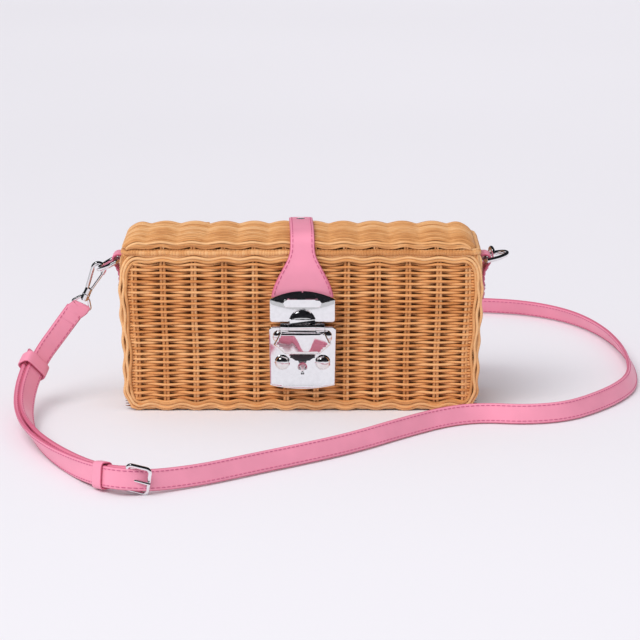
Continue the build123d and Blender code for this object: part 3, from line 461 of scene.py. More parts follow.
wall_weave("front_weave", -1, 14, "front_panel")
wall_weave("back_weave", 1, 10, "back_panel")
upright_rods("front_rods", -1, "front_stakes")
upright_rods("back_rods", 1, "back_stakes")
inner_wall("front_inner_strands", -1)
inner_wall("back_inner_strands", 1)


# The band that runs round the ends and the bottom

BUMP_Z = 16.3
BAND_STRANDS = 36
BAND_R = 0.92
BAND_EDGE = 2.6
BAND_INSET = 2.2
BAND_CORNER = 9.0
BAND_TOP = 96.6
BAND_SAMPLES = 300
BAND_BULGE = 0.55
BAND_SWING = 0.50


def corner_points(centre, reach, start, end, count):
    """Points of a quarter of an ellipse, with angles in degrees."""
    angle = np.radians(np.linspace(start, end, count))
    return np.stack([centre[0] + reach[0] * np.cos(angle), centre[1] + reach[1] * np.sin(angle)], -1)


def along_line(line, count, endpoint=True):
    """Evenly spaced places on a line of points, and the distance run at each."""
    line = np.asarray(line, float)
    run = distance_run(line)
    s = np.linspace(0, run[-1], count, endpoint=endpoint)
    return [np.interp(s, run, line[:, k]) for k in range(line.shape[1])] + [s]


def evenly(points, step):
    """The same line with points at an even distance."""
    count = max(int(distance_run(points)[-1] / step), 3)
    return np.stack(along_line(points, count)[:-1], -1)


def bump_count(x, z, bottom):
    """Counts the stakes passed along the band, from the bottom's middle."""
    lower = (x - FIRST_STAKE) / STAKE_PITCH
    side = np.sign(x) * (HALF_L / STAKE_PITCH + (z - bottom) / BUMP_Z) - FIRST_STAKE / STAKE_PITCH
    turn = np.clip((np.abs(x) - (HALF_L - 9)) / 7, 0, 1)
    return lower * (1 - turn) + side * turn


def side_strands():
    """Strands of the ends and the bottom, from the front edge to the back edge."""
    paths = []
    outs = []
    centre = (-HALF_L + BAND_INSET + BAND_CORNER, BAND_INSET + BAND_CORNER)
    turn = corner_points(centre, (BAND_CORNER, BAND_CORNER), 180, 270, 12)
    half = np.vstack([[(-HALF_L + BAND_INSET, BAND_TOP)], turn])
    line = np.vstack([half, half[::-1] * [-1, 1]])
    x, z, s = along_line(line, BAND_SAMPLES)
    out = unit(np.stack([np.gradient(z), -np.gradient(x)], -1)) * -1
    count = bump_count(x, z, BAND_INSET)
    for k, y in enumerate(np.linspace(-HALF_D + BAND_EDGE, HALF_D - BAND_EDGE, BAND_STRANDS)):
        shift = BAND_BULGE * np.cos(2 * np.pi * count) + BAND_SWING * np.cos(np.pi * count + np.pi * k)
        shift = shift + waver(1, s, 0.05, 50.0)[0]
        wave = y + waver(1, s, 0.08, 60.0)[0]
        paths.append(np.stack([x + out[:, 0] * shift, wave, z + out[:, 1] * shift], -1))
        outs.append(np.stack([out[:, 0], np.zeros(BAND_SAMPLES), out[:, 1]], -1))
    piece = tubes("side_strands", flare(paths), np.array(outs), BAND_R, RATTAN_Z)
    woven(piece, "basket", "left_end", "right_end", "bottom_panel")


side_strands()


# The borders of the walls, each strand with its inset, top, distance out and top corner

BORDER_STRANDS = [
    (1.0, 96.0, 30.9, 12.0),
    (2.85, 94.3, 31.9, 12.0),
    (4.65, 92.6, 32.0, 12.0),
    (1.1, 96.4, 30.0, 8.6),
    (1.1, 96.8, 29.6, 5.0),
]
BORDER_R = 0.98
BORDER_SAMPLES = 480
BORDER_BULGE = 0.50
BORDER_SWING = 0.22
BORDER_TOP_BEND = 0.65
LOW_CORNER = 10.5
CORNER_TALLER = 1.17


def ring_loop(inset, top, corner):
    """One closed strand round the border of a wall."""
    x = HALF_L - inset
    low = inset
    low_r = LOW_CORNER - inset * 0.6
    top_x = corner - inset * 0.7
    top_z = corner * CORNER_TALLER - inset * 0.7
    left_low = corner_points((-x + low_r, low + low_r), (low_r, low_r), 180, 270, 12)
    right_low = corner_points((x - low_r, low + low_r), (low_r, low_r), 270, 360, 12)
    right_top = corner_points((x - top_x, top - top_z), (top_x, top_z), 0, 90, 14)
    left_top = corner_points((-x + top_x, top - top_z), (top_x, top_z), 90, 180, 14)
    return np.vstack([left_low, right_low, right_top, left_top, left_low[:1]])


def border(name, side):
    """Strands that frame one wall. side is -1 at the front."""
    paths = []
    outs = []
    for k, (inset, top, out, corner) in enumerate(BORDER_STRANDS):
        x, z, s = along_line(ring_loop(inset, top, corner), BORDER_SAMPLES, False)
        normal = unit(np.stack([np.gradient(z), -np.gradient(x)], -1))
        on_top = smooth_step(z, 74, 88)
        low = 1 - smooth_step(z, 4, 14)
        count = bump_count(x, z, inset)
        shift = BORDER_BULGE * np.cos(2 * np.pi * count) * (1 - low) * (1 - on_top)
        shift = shift + low * (LOW_BEND * scallop(x) - LOW_BEND) + BORDER_TOP_BEND * scallop(x) * on_top
        x = x + normal[:, 0] * shift
        z = z + normal[:, 1] * shift + waver(1, s, 0.06, 60.0)[0]
        swing = BORDER_SWING * np.cos(np.pi * count + np.pi * k)
        y = side * (out + swing + waver(1, s, 0.06, 60.0)[0])
        paths.append(np.stack([x, y, np.maximum(z, BORDER_R)], -1))
        outs.append(np.stack([normal[:, 0] * 0.4, np.full(BORDER_SAMPLES, side), normal[:, 1] * 0.4], -1))
    piece = tubes(name, flare(paths), np.array(outs), BORDER_R, RATTAN_X, sides=8, closed=True)
    woven(piece, "basket")


border("front_border", -1)
border("back_border", 1)


# The rim of the basket, each rod with its half length, half depth, height and radius

RIM_RODS = [(104.7, 31.3, 97.6, 1.75), (104.3, 30.9, 99.0, 1.15)]
RIM_CORNER = 5.0
RIM_BEND = 0.30
WRAP_STEP = 1.8
WRAP_SAMPLES = 2200
WRAP_RELIEF = 0.28


def plan_loop(half_x, half_y, corner, count):
    """A rounded rectangle seen from above."""
    parts = []
    for cx, cy, a in ((1, -1, 270), (1, 1, 0), (-1, 1, 90), (-1, -1, 180)):
        centre = (cx * (half_x - corner), cy * (half_y - corner))
        parts.append(corner_points(centre, (corner, corner), a, a + 90, 10))
    line = np.vstack(parts + [parts[0][:1]])
    x, y, s = along_line(line, count, False)
    out = unit(np.stack([np.gradient(y), -np.gradient(x), np.zeros(count)], -1))
    return x, y, out, s


def rim():
    """A rod under a thinner one, both bound by turns of fine rattan."""
    paths = []
    outs = []
    sizes = []
    tones = []
    for half_x, half_y, height, r in RIM_RODS:
        x, y, out, s = plan_loop(half_x, half_y, RIM_CORNER, WRAP_SAMPLES)
        z = height + RIM_BEND * scallop(x) + waver(1, s, 0.08, 60.0)[0]
        paths.append(np.stack([x, y, z], -1))
        outs.append(out)
        turn = s / WRAP_STEP + waver(1, s, 0.3, 25.0)[0]
        relief = WRAP_RELIEF * np.abs(np.sin(np.pi * turn))
        sizes.append(r + relief - 0.2 + waver(1, s, 0.04, 15.0)[0])
        tones.append(0.05 + 0.5 * RNG.random(len(s))[np.floor(turn).astype(int) % len(s)])
    piece = tubes(
        "rim_rods", flare(paths), np.array(outs), np.array(sizes), RATTAN_X,
        sides=10, closed=True, tones=np.array(tones),
    )
    woven(piece, "basket", "body_rim")


rim()


# The lid

LID_LOW = 100.7
LID_EDGE = 103.0
LID_CREST = 105.9
LID_SQUARE = 2.5
LID_WIDER = 0.0125
LID_SHIFT = 2.0
LID_RIGHT = 105.3
LID_LEFT = 104.6
LID_INSET = 1.1
LID_FOOT_INSET = 1.3
LID_CORNER = 8
EDGE_PITCH = 1.35
CREST_PITCH = 0.95
CUSHION_RISE = 0.85
CUSHION_SWING = 0.22
LID_FADE = 11
LID_SAMPLES = 200
CURL_LEAST = 2.0
CURL_SHARE = 1.35
FOOT_ARCH = 1.5
FOOT_ROWS = 1.8
STRAND_OVERLAP = 0.12
LID_ROD_R = 0.75


def lid_section():
    """Places along the lid's curve from front to back, with each strand's half width."""
    turn = np.linspace(0, np.pi, 400)
    power = 2 / LID_SQUARE
    y = -np.sign(np.cos(turn)) * np.abs(np.cos(turn)) ** power * (HALF_D - LID_INSET)
    z = LID_EDGE + np.sin(turn).clip(0) ** power * (LID_CREST - LID_EDGE)
    foot = HALF_D - LID_FOOT_INSET
    line = np.vstack([[(-foot, LID_LOW)], np.stack([y, z], -1), [(foot, LID_LOW)]])
    run = distance_run(line)
    total = run[-1]
    places = [0.0]
    while places[-1] < total:
        crest = math.sin(math.pi * min(places[-1] / total, 1)) ** 0.8
        places.append(places[-1] + EDGE_PITCH + CREST_PITCH * crest)
    places = np.array(places) * total / places[-1]
    halves = np.gradient(places) / 2
    points = np.stack([np.interp(places, run, line[:, k]) for k in (0, 1)], -1)
    return points, halves


def cushion(x):
    """Broad crests at the stakes and narrow valleys between them."""
    wave = np.sqrt(np.cos(np.pi * (x - FIRST_STAKE) / STAKE_PITCH) ** 2 + 0.02)
    return 2 * wave - 1.05


def lid_strands():
    """Strands along the lid. They curl down at both ends, and the lowest in front arch over the stakes."""
    section, halves = lid_section()
    normal = unit(np.stack([-np.gradient(section[:, 1]), np.gradient(section[:, 0])], -1))
    paths = []
    outs = []
    sizes = []
    for k, ((y, z), (ny, nz), half) in enumerate(zip(section, normal, halves)):
        rise = z - (LID_LOW - LID_INSET)
        over = max(abs(y) - (HALF_D - LID_CORNER), 0)
        rounding = (LID_CORNER - math.sqrt(max(LID_CORNER ** 2 - over * over, 0))) * 0.7
        end = CURL_LEAST + CURL_SHARE * rise
        angle = np.linspace(0, np.pi / 2, 14)
        curl = end * (np.cos(angle) - 1) - 0.30 * rise * np.sin(angle) - rounding
        right_x = LID_RIGHT + curl
        left_x = -LID_LEFT - curl[::-1]
        end_z = z - rise + rise * np.sin(angle)
        middle = np.linspace(right_x[-1], left_x[0], LID_SAMPLES)[1:-1]
        x = np.concatenate([right_x, middle, left_x])
        height = np.concatenate([end_z, np.full(len(middle), z), end_z[::-1]])
        inner = smooth_step(np.minimum(right_x[0] - x, x - left_x[-1]), 0, LID_FADE)
        alternate = CUSHION_SWING * np.cos(np.pi * (x - FIRST_STAKE) / STAKE_PITCH + np.pi * k)
        shift = (0.25 + 0.75 * inner) * (CUSHION_RISE * cushion(x) + alternate)
        low = math.exp(-k / FOOT_ROWS)
        lift = inner * low * FOOT_ARCH * (0.5 + 0.5 * scallop(x)) ** 1.5
        px = x * (1 + LID_WIDER) - LID_SHIFT
        py = y + ny * shift * 0.6 + waver(1, x, 0.06, 60.0)[0]
        pz = height + max(nz, 0) * shift + lift + waver(1, x, 0.05, 60.0)[0]
        paths.append(np.stack([px, py, pz], -1))
        tilt = np.clip((np.abs(x) + end - (LID_RIGHT + LID_LEFT) / 2) / end, 0, 1)
        outs.append(np.stack([np.sign(x) * tilt, np.full(len(x), ny), nz * (1 - 0.8 * tilt)], -1))
        sizes.append(np.full(len(x), half + STRAND_OVERLAP))
    # The lid's strands carry strong painted shade on their flanks
    piece = tubes(
        "lid_strands", paths, np.array(outs), np.array(sizes), RATTAN_X,
        sides=10, thick=0.80, painted_flank_shade=0.75,
    )
    woven(piece, "lid", "lid_panel")


def lid_rods():
    """Ends of the lid's own rods, which show in the gaps over the rim."""
    paths = []
    for x in stake_xs() * (1 + LID_WIDER) - LID_SHIFT + 0.8:
        for shift in (-LID_ROD_R, LID_ROD_R):
            paths.append([(x + shift, -31.4, z) for z in np.linspace(99.9, 103.4, 5)])
    woven(tubes("lid_rods", paths, (0, -1, 0), LID_ROD_R, RATTAN_Z), "lid")


lid_strands()
lid_rods()
paint("hinge_loops", RATTAN_Z)
paint("lid_back_rod", RATTAN_X)


# Bands of leather

STITCH_STEP = 3.1
STITCH_GAP = 0.6
STITCH_R = 0.24
STITCH_RISE = 0.05


def band_section(count=20):
    """Cross-section of a flat band with rounded edges, from -1 to 1 both ways."""
    angle = 2 * np.pi * np.arange(count) / count
    power = 2 / 4.5
    u = np.sign(np.cos(angle)) * np.abs(np.cos(angle)) ** power
    v = np.sign(np.sin(angle)) * np.abs(np.sin(angle)) ** power
    return u, v


def ribbon(name, centre, wide, half_width, thick, material, closed=False, body="basket"):
    """A leather band along a line of points, with its width along wide."""
    centre = np.asarray(centre, float)
    if closed:
        along = unit(np.roll(centre, -1, 0) - np.roll(centre, 1, 0))
    else:
        along = unit(np.gradient(centre, axis=0))
    wide = np.broadcast_to(np.asarray(wide, float), centre.shape)
    wide = square_to(wide, along)
    out = np.cross(wide, along)
    half = np.broadcast_to(np.asarray(half_width, float), (len(centre),))
    u, v = band_section()
    verts = (
        centre[:, None]
        + wide[:, None] * (half[:, None] * u)[:, :, None]
        + out[:, None] * (thick / 2 * v)[None, :, None]
    )
    quads = grid_quads(len(centre), len(u), True, closed)
    if not closed:
        cap = len(u)
        first = []
        for k in range(cap // 2 - 1):
            a, b = k, k + 1
            c, d = cap - 2 - k, cap - 1 - k
            first.append((a, d, c, b))
        first = np.array(first)
        last = first[:, ::-1] + (len(centre) - 1) * cap
        quads = np.vstack([quads, first, last])
    edge = np.broadcast_to(np.clip((np.abs(u) - 0.93) / 0.05, 0, 1), verts.shape[:2])
    piece = mesh_object(name, verts, quads, material, edge=edge)
    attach(piece, body)
    return piece


def stitches(name, centre, wide, half_width, thick, body="basket", inset=1.5, faces=(1, -1)):
    """Short raised stitches along both edges of a band."""
    centre = np.asarray(centre, float)
    run = distance_run(centre)
    along = unit(np.gradient(centre, axis=0))
    wide = np.broadcast_to(np.asarray(wide, float), centre.shape)
    wide = square_to(wide, along)
    out = np.cross(wide, along)
    half = np.broadcast_to(np.asarray(half_width, float), (len(centre),))
    starts = np.arange(1.5, run[-1] - 2.5, STITCH_STEP)
    t = np.linspace(0, 1, 6)
    paths = []
    outs = []
    for s0 in starts:
        s = s0 + t * (STITCH_STEP - STITCH_GAP)
        c = np.stack([np.interp(s, run, centre[:, k]) for k in range(3)], -1)
        w = unit(np.stack([np.interp(s, run, wide[:, k]) for k in range(3)], -1))
        o = unit(np.stack([np.interp(s, run, out[:, k]) for k in range(3)], -1))
        h = np.interp(s, run, half)[:, None]
        rise = (thick / 2 + STITCH_RISE * np.sin(np.pi * t))[:, None]
        for side in (-1, 1):
            for face in faces:
                paths.append(c + w * side * (h - inset) + o * face * rise)
                outs.append(o * face)
    piece = tubes(name, np.array(paths), np.array(outs), STITCH_R, THREAD)
    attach(piece, body)
    return piece


# The tab over the lid that carries the clasp

CLASP_X = 0.6
TAB_LINE = [
    (21.0, 109.1),
    (14.0, 109.5),
    (0.0, 109.7),
    (-14.0, 109.6),
    (-23.0, 109.2),
    (-29.3, 108.1),
    (-33.6, 105.8),
    (-35.0, 101.8),
    (-36.0, 95.5),
    (-37.6, 88.5),
    (-37.5, 80.0),
    (-37.0, 72.0),
    (-36.9, 66.0),
    (-36.9, 59.0),
]
TAB_THICK = 2.1
TAB_SLANT = 1.3
TAB_ON_LID = HALF_D + TAB_LINE[0][0]

# Half widths of the tab, each after its height
TAB_HALF_TOP = 7.3
TAB_FLARE = [(70.0, 19.3), (77.8, 17.5), (85.8, 13.8), (92.0, 10.2), (97.0, 7.8), (101.0, TAB_HALF_TOP)]


def smooth_line(points, step):
    """A smooth line near the points, with even steps."""
    curve = bpy.data.curves.new("route", "CURVE")
    curve.dimensions = "3D"
    spline = curve.splines.new("NURBS")
    spline.points.add(len(points) - 1)
    for point, place in zip(spline.points, points):
        point.co = (*place, 1)
    spline.order_u = 3
    spline.use_endpoint_u = True
    spline.resolution_u = 16
    obj = bpy.data.objects.new("route", curve)
    bpy.context.scene.collection.objects.link(obj)
    mesh = bpy.data.meshes.new_from_object(obj)
    places = np.array([v.co[:] for v in mesh.vertices])
    bpy.data.objects.remove(obj)
    bpy.data.meshes.remove(mesh)
    return evenly(places, step)


def clasp_tab():
    """The tab narrows from the clasp's width to a strip that slants a little on the lid."""
    line = smooth_line([(CLASP_X, y, z) for y, z in TAB_LINE], 0.8)
    line[:, 0] -= TAB_SLANT * np.clip((line[:, 1] + HALF_D) / TAB_ON_LID, 0, 1)
    half = np.interp(line[:, 2], [z for z, w in TAB_FLARE], [w for z, w in TAB_FLARE])
    half = np.where(line[:, 1] > -HALF_D, TAB_HALF_TOP, half)
    half = smoothed(half, 4)
    tab = ribbon("clasp_tab", line, (1, 0, 0), half, TAB_THICK, PINK, body="lid")
    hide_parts("lid_tab")
    stitches("clasp_tab_stitches", line, (1, 0, 0), half, TAB_THICK, body="lid", inset=1.6)


clasp_tab()


# The strap

STRAP_WIDTH = 12.0
STRAP_THICK = 2.2
STRAP_STEP = 2.2
EYE_TURN = 22
SHORT_ROUTE = [
    (-139.2, -1.0, 56.5),
    (-150.0, -4.0, 42.0),
    (-159.5, -12.0, 30.0),
    (-164.5, -30.0, 19.5),
    (-165.0, -57.0, 12.5),
    (-161.0, -88.0, 8.8),
    (-151.5, -122.0, 7.0),
    (-138.5, -153.0, 6.2),
    (-124.0, -179.0, 6.3),
    (-111.5, -199.0, 7.6),
    (-102.5, -211.5, 9.4),
    (-98.6, -213.6, 9.7),
]
LONG_ROUTE = [
    (112.2, 37.1, 78.1),
    (104.0, 50.0, 62.0),
    (90.0, 66.0, 40.0),
    (68.0, 84.0, 19.0),
    (40.0, 106.0, 8.5),
    (16.0, 138.0, 6.15),
    (10.0, 176.0, 6.15),
    (26.0, 212.0, 6.15),
    (58.0, 235.0, 6.15),
    (94.0, 246.0, 6.15),
    (130.0, 245.0, 6.15),
    (161.0, 234.0, 6.15),
    (187.0, 205.0, 6.15),
    (203.0, 160.0, 6.15),
    (210.0, 110.0, 6.15),
    (211.0, 60.0, 6.15),
    (206.5, 18.0, 6.15),
    (194.0, -12.0, 6.15),
    (176.0, -39.0, 6.15),
    (158.0, -58.0, 6.15),
    (134.0, -65.0, 6.15),
    (108.0, -60.0, 6.15),
    (86.0, -69.0, 6.15),
    (60.0, -95.0, 6.15),
    (30.0, -129.0, 6.15),
    (2.0, -153.0, 6.15),
    (-25.0, -174.0, 6.15),
    (-50.0, -195.0, 6.3),
    (-67.0, -206.5, 6.8),
    (-81.4, -215.2, 7.8),
    (-94.5, -219.9, 9.7),
    (-104.6, -213.8, 9.2),
    (-113.9, -200.7, 7.6),
    (-126.5, -180.5, 6.3),
    (-141.0, -154.3, 6.2),
    (-154.2, -123.0, 7.0),
    (-163.9, -88.5, 8.8),
    (-167.9, -57.0, 12.5),
    (-167.8, -29.4, 19.5),
    (-163.8, -10.2, 29.6),
]

# How far the strap leans, in degrees, each after its distance along the strap
SHORT_LEAN = [(0, 0), (20, -14), (45, -36), (75, -44), (110, -40), (150, -20), (200, 2), (260, 10)]
LONG_LEAN = [
    (0, 0),
    (150, -6),
    (280, -24),
    (600, -28),
    (780, -18),
    (860, -26),
    (950, -28),
    (1010, -12),
    (1050, -6),
    (1100, 20),
    (1140, 38),
    (1180, 44),
    (1215, 43),
    (1250, 31),
]

# The bars that the strap's ends are folded round
LEFT_EYE_BAR = (-136.12, 0.0, 58.03)
LEFT_EYE_AXIS = (-0.898, 0.0, 0.435)
RIGHT_EYE_BAR = (113.18, 33.80, 80.20)
RIGHT_EYE_AXIS = (-0.231, 0.308, 0.923)
HEEL_BAR = (-94.1, -215.6, 10.1)
FOLD_R = 1.75
FOLD_HALF = 5.8
FOLD_THICK = 1.2
FOLD_GAP = 0.6
FOLD_NECK = 0.65

FIXED_KEEPER_AT = (-108.23, -206.1, 8.43)
FREE_KEEPER_AT = (-163.87, -20.29, 24.71)
FREE_KEEPER_SLACK = 1.1
KEEPER_BAND_HALF = 4.5
KEEPER_BAND_THICK = 1.1
KEEPER_LOOP_WIDE = 6.8
KEEPER_LOOP_THICK = 2.0


def strap(name, route, lean, node, start_axis=None):
    """A strap that stands on its edge and leans as it runs, with its rows of stitches."""
    line = smooth_line(route, STRAP_STEP)
    along = unit(np.gradient(line, axis=0))
    run = distance_run(line)
    scale = run[-1] / lean[-1][0]
    up = unit(np.array([0, 0, 1.0]) - along * along[:, 2:3])
    out = np.cross(along, up)
    angle = np.radians(np.interp(run, [a * scale for a, b in lean], [b for a, b in lean]))
    for _ in range(3):
        angle = smoothed(angle, 5)
    wide = up * np.cos(angle)[:, None] - out * np.sin(angle)[:, None]
    if start_axis is not None:
        share = smooth_step(run, 0, EYE_TURN)[:, None]
        wide = unit(wide * share + np.array(start_axis) * (1 - share))
    piece = ribbon(name, line, wide, STRAP_WIDTH / 2, STRAP_THICK, PINK)
    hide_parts(node)
    stitch = stitches(name + "_stitches", line, wide, STRAP_WIDTH / 2, STRAP_THICK)
    return line, wide, piece, stitch


def end_fold(name, line, bar, axis):
    """The strap's end, folded round a bar. The line starts at that end."""
    bar = np.array(bar)
    axis = unit(axis)
    ahead = bar - line[4]
    ahead = unit(ahead - axis * np.dot(ahead, axis))
    side = np.cross(axis, ahead)
    turns = np.radians(np.linspace(112, -112, 17))
    arc = [bar + FOLD_R * (math.cos(a) * ahead + math.sin(a) * side) for a in turns]
    points = [line[4] + FOLD_GAP * side, line[1] + FOLD_NECK * side] + arc
    points += [line[1] - FOLD_NECK * side, line[4] - FOLD_GAP * side, line[4] + FOLD_GAP * side]
    return ribbon(name, evenly(points, 0.7)[:-1], axis, FOLD_HALF, FOLD_THICK, PINK, closed=True)


def keeper(name, node, body, at, short, long, slack=0.0):
    """A leather loop laid closely round both layers of the strap."""
    at = np.array(at)
    near = []
    for line, wide in (short, long):
        k = int(np.argmin(np.linalg.norm(line - at, axis=1)))
        near.append((line[k], wide[k], unit(line[k + 1] - line[k - 1])))
    (a, wide_a, along), (b, wide_b, _) = near
    wide = unit(wide_a + wide_b * np.sign(np.dot(wide_a, wide_b)))
    wide = unit(wide - along * np.dot(wide, along))
    thick = np.cross(along, wide)
    apart = b - a
    half_w = KEEPER_LOOP_WIDE + abs(np.dot(apart, wide)) / 2 + slack * 0.6
    half_t = KEEPER_LOOP_THICK + abs(np.dot(apart, thick)) / 2 + slack
    centre = (a + b) / 2
    turns = np.linspace(0, 2 * np.pi, 61)
    power = 2 / 5.0
    u = half_w * np.sign(np.cos(turns)) * np.abs(np.cos(turns)) ** power
    v = half_t * np.sign(np.sin(turns)) * np.abs(np.sin(turns)) ** power
    loop = evenly(centre + u[:, None] * wide + v[:, None] * thick, 0.7)[:-1]
    piece = ribbon(name, loop, along, KEEPER_BAND_HALF, KEEPER_BAND_THICK, PINK, closed=True, body=body)
    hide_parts(node)
    return piece


short_line, short_wide, short_strap, short_stitches = strap(
    "short_strap", SHORT_ROUTE, SHORT_LEAN, "strap_short", LEFT_EYE_AXIS
)
long_line, long_wide, long_strap, long_stitches = strap("long_strap", LONG_ROUTE, LONG_LEAN, "strap_long")
layers = ((short_line, short_wide), (long_line, long_wide))
fixed_keeper = keeper("fixed_keeper", "keeper_fixed", "basket", FIXED_KEEPER_AT, *layers)
free_keeper = keeper("free_keeper", "keeper_free", "keeper", FREE_KEEPER_AT, *layers, FREE_KEEPER_SLACK)
left_fold = end_fold("left_strap_fold", short_line, LEFT_EYE_BAR, LEFT_EYE_AXIS)
heel_fold = end_fold("buckle_strap_fold", short_line[::-1], HEEL_BAR, short_wide[-1])
right_fold = end_fold("right_strap_fold", long_line, RIGHT_EYE_BAR, RIGHT_EYE_AXIS)
short_parts = [short_stitches, fixed_keeper, left_fold, heel_fold]
short_parts += ["buckle_frame", "buckle_prong", "eye_left", "hook_left", "gate_left"]


# The tabs that hold the rings

SIDE_TAB_LINE = [
    (108.6, 64.4),
    (108.6, 74.0),
    (108.7, 84.0),
    (108.9, 89.0),
    (110.0, 91.5),
    (112.8, 91.9),
    (115.3, 90.3),
    (115.3, 86.8),
    (112.8, 83.8),
    (111.3, 80.5),
    (110.9, 76.0),
    (111.1, 70.0),
    (110.8, 64.2),
]
SIDE_TAB_HALF = 7.0
SIDE_TAB_THICK = 1.7


def side_tab(name, side, node):
    """A band folded round the bar of a ring and sewn to the wall."""
    line = smooth_line([(side * x, 0, z) for x, z in SIDE_TAB_LINE], 0.7)
    piece = ribbon(name, line, (0, 1, 0), SIDE_TAB_HALF, SIDE_TAB_THICK, PINK)
    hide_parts(node)
    outer = line[len(line) // 2 + 12:]
    stitches(name + "_stitches", outer, (0, 1, 0), SIDE_TAB_HALF, SIDE_TAB_THICK, faces=(-side,))


side_tab("left_side_tab", -1, "side_tab_left")
side_tab("right_side_tab", 1, "side_tab_right")


# Metal


def bent(name, node_name, slices, move, body):
    """A copy of a solid of the frame with its faces cut finely and moved by a function."""
    bm = bmesh.new()
    bm.from_mesh(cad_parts[node_name].data)
    bmesh.ops.remove_doubles(bm, verts=bm.verts, dist=1e-6)
    for normal, places in slices:
        for place in places:
            parts = bm.verts[:] + bm.edges[:] + bm.faces[:]
            point = Vector(normal) * place * MM
            bmesh.ops.bisect_plane(bm, geom=parts, plane_co=point, plane_no=normal)
    bmesh.ops.triangulate(bm, faces=bm.faces)
    for vert in bm.verts:
        x, y, z = vert.co / MM
        vert.co.y = move(x, y, z) * MM
    mesh = bpy.data.meshes.new(name)
    bm.to_mesh(mesh)
    bm.free()
    mesh.polygons.foreach_set("use_smooth", np.ones(len(mesh.polygons), bool))
    mesh.set_sharp_from_angle(angle=math.radians(28))
    obj = bpy.data.objects.new(name, mesh)
    bpy.context.scene.collection.objects.link(obj)
    obj.data.materials.append(CHROME)
    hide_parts(node_name)
    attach(obj, body)


CLASP_BACK_Y = -38.0
CLASP_FRONT_Y = -42.4
CLASP_HALF = 19.65
CLASP_CURVE_R = 44.0
CURVE_FROM_Z = 60.6
CURVE_SIDE_RISE = 4.0
PLATE_LOW_Z = 59.2
MOON_TOP_Z = 66.0
MOON_HALF = 8.2


def clasp_curve(x, y, z):
    """The plate's upper part curves back. The bar stays upright, and the half-moon is pressed flat."""
    if y > CLASP_BACK_Y - 0.3 or z < PLATE_LOW_Z:
        return y
    if z < MOON_TOP_Z and abs(x - CLASP_X) < MOON_HALF and y < CLASP_FRONT_Y - 0.05:
        return CLASP_FRONT_Y + 0.1
    if y < CLASP_FRONT_Y - 0.4:
        return y
    start = CURVE_FROM_Z + CURVE_SIDE_RISE * ((x - CLASP_X) / CLASP_HALF) ** 2
    share = (CLASP_BACK_Y - y) / (CLASP_BACK_Y - CLASP_FRONT_Y)
    return y + share * max(z - start, 0) ** 2 / (2 * CLASP_CURVE_R)


# Normals of the planes that cut a solid
LEVEL = (0, 0, 1)
UPRIGHT = (1, 0, 0)

clasp_cuts = [(LEVEL, np.arange(59.5, 76, 0.7)), (UPRIGHT, CLASP_X + np.arange(-18.5, 18.6, 1.85))]
bent("clasp_upper_plate", "clasp_plate", clasp_cuts, clasp_curve, "lid")

LOCK_FRONT_Y = -38.3
LOCK_FLARE_Z = 42.0
LOCK_DROP = 26.5
LOCK_FLARE = 1.72


def lock_curve(x, y, z):
    """The lower plate's foot stands out a little from the weave."""
    if y > LOCK_FRONT_Y + 2.4 or z > LOCK_FLARE_Z:
        return y
    return y - LOCK_FLARE * ((LOCK_FLARE_Z - z) / LOCK_DROP) ** 2


bent("lock_lower_plate", "lock_plate", [(LEVEL, np.arange(16, 43, 1.4))], lock_curve, "basket")

HASP_BEND_Z = 52.0
HASP_LEAN = 0.055


def hasp_curve(x, y, z):
    """The hasp leans towards the lower plate, with a slight ridge down its middle."""
    side = min(max((abs(x - CLASP_X) - 1.5) / 5.0, 0), 1)
    return y + HASP_LEAN * max(HASP_BEND_Z - z, 0) * (0.25 + 0.75 * side)


hasp_cuts = [(LEVEL, np.arange(38, HASP_BEND_Z, 1.4)), (UPRIGHT, CLASP_X + np.arange(-16, 16.1, 1.0))]
bent("hasp_plate", "hasp", hasp_cuts, hasp_curve, "hasp")


def half_dome(name, centre, reach, cut, body, material=CHROME):
    """Half an ellipsoid to the front, above a level. Negative reaches make a hollow below it."""
    turns = np.linspace(0, np.pi, 33)
    rises = np.linspace(0, 1, 13)
    verts = []
    for rise in rises:
        for turn in turns:
            x = reach[0] * math.cos(turn) * rise
            z = reach[2] * math.sin(turn) * rise
            y = reach[1] * math.sqrt(max(1 - rise * rise, 0))
            level = max(centre[2] + z, cut) if reach[2] > 0 else min(centre[2] + z, cut)
            verts.append((centre[0] + x, centre[1] - y, level))
    piece = mesh_object(name, verts, grid_quads(len(rises), len(turns)), material)
    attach(piece, body)


SCOOP_Z = 36.6
half_dome("clasp_half_moon", (CLASP_X, CLASP_FRONT_Y + 0.2, 57.6), (MOON_HALF, 3.0, 7.9), 59.4, "lid")
# The finger scoop's hollow is near black with painted shade
scoop_centre = (CLASP_X, LOCK_FRONT_Y - 0.35, SCOOP_Z)
half_dome("finger_scoop", scoop_centre, (7.5, -0.1, -4.1), SCOOP_Z, "basket", PAINTED_SHADE_METAL)


def button(name, centre, radius, height, node_name, body):
    """A low round head that looks upwards."""
    turns = np.radians(np.linspace(0, 360, 33)[:-1])
    rings = [(radius, -0.4), (radius, height * 0.5), (radius - 0.25, height), (0.05, height)]
    verts = [
        (centre[0] + r * math.cos(turn), centre[1] + r * math.sin(turn), centre[2] + z)
        for r, z in rings
        for turn in turns
    ]
    piece = mesh_object(name, verts, grid_quads(len(rings), len(turns), True), CHROME)
    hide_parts(node_name)
    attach(piece, body)


button("tab_rivet_head", (CLASP_X - TAB_SLANT, 14.0, 110.3), 2.6, 0.3, "tab_rivet", "lid")

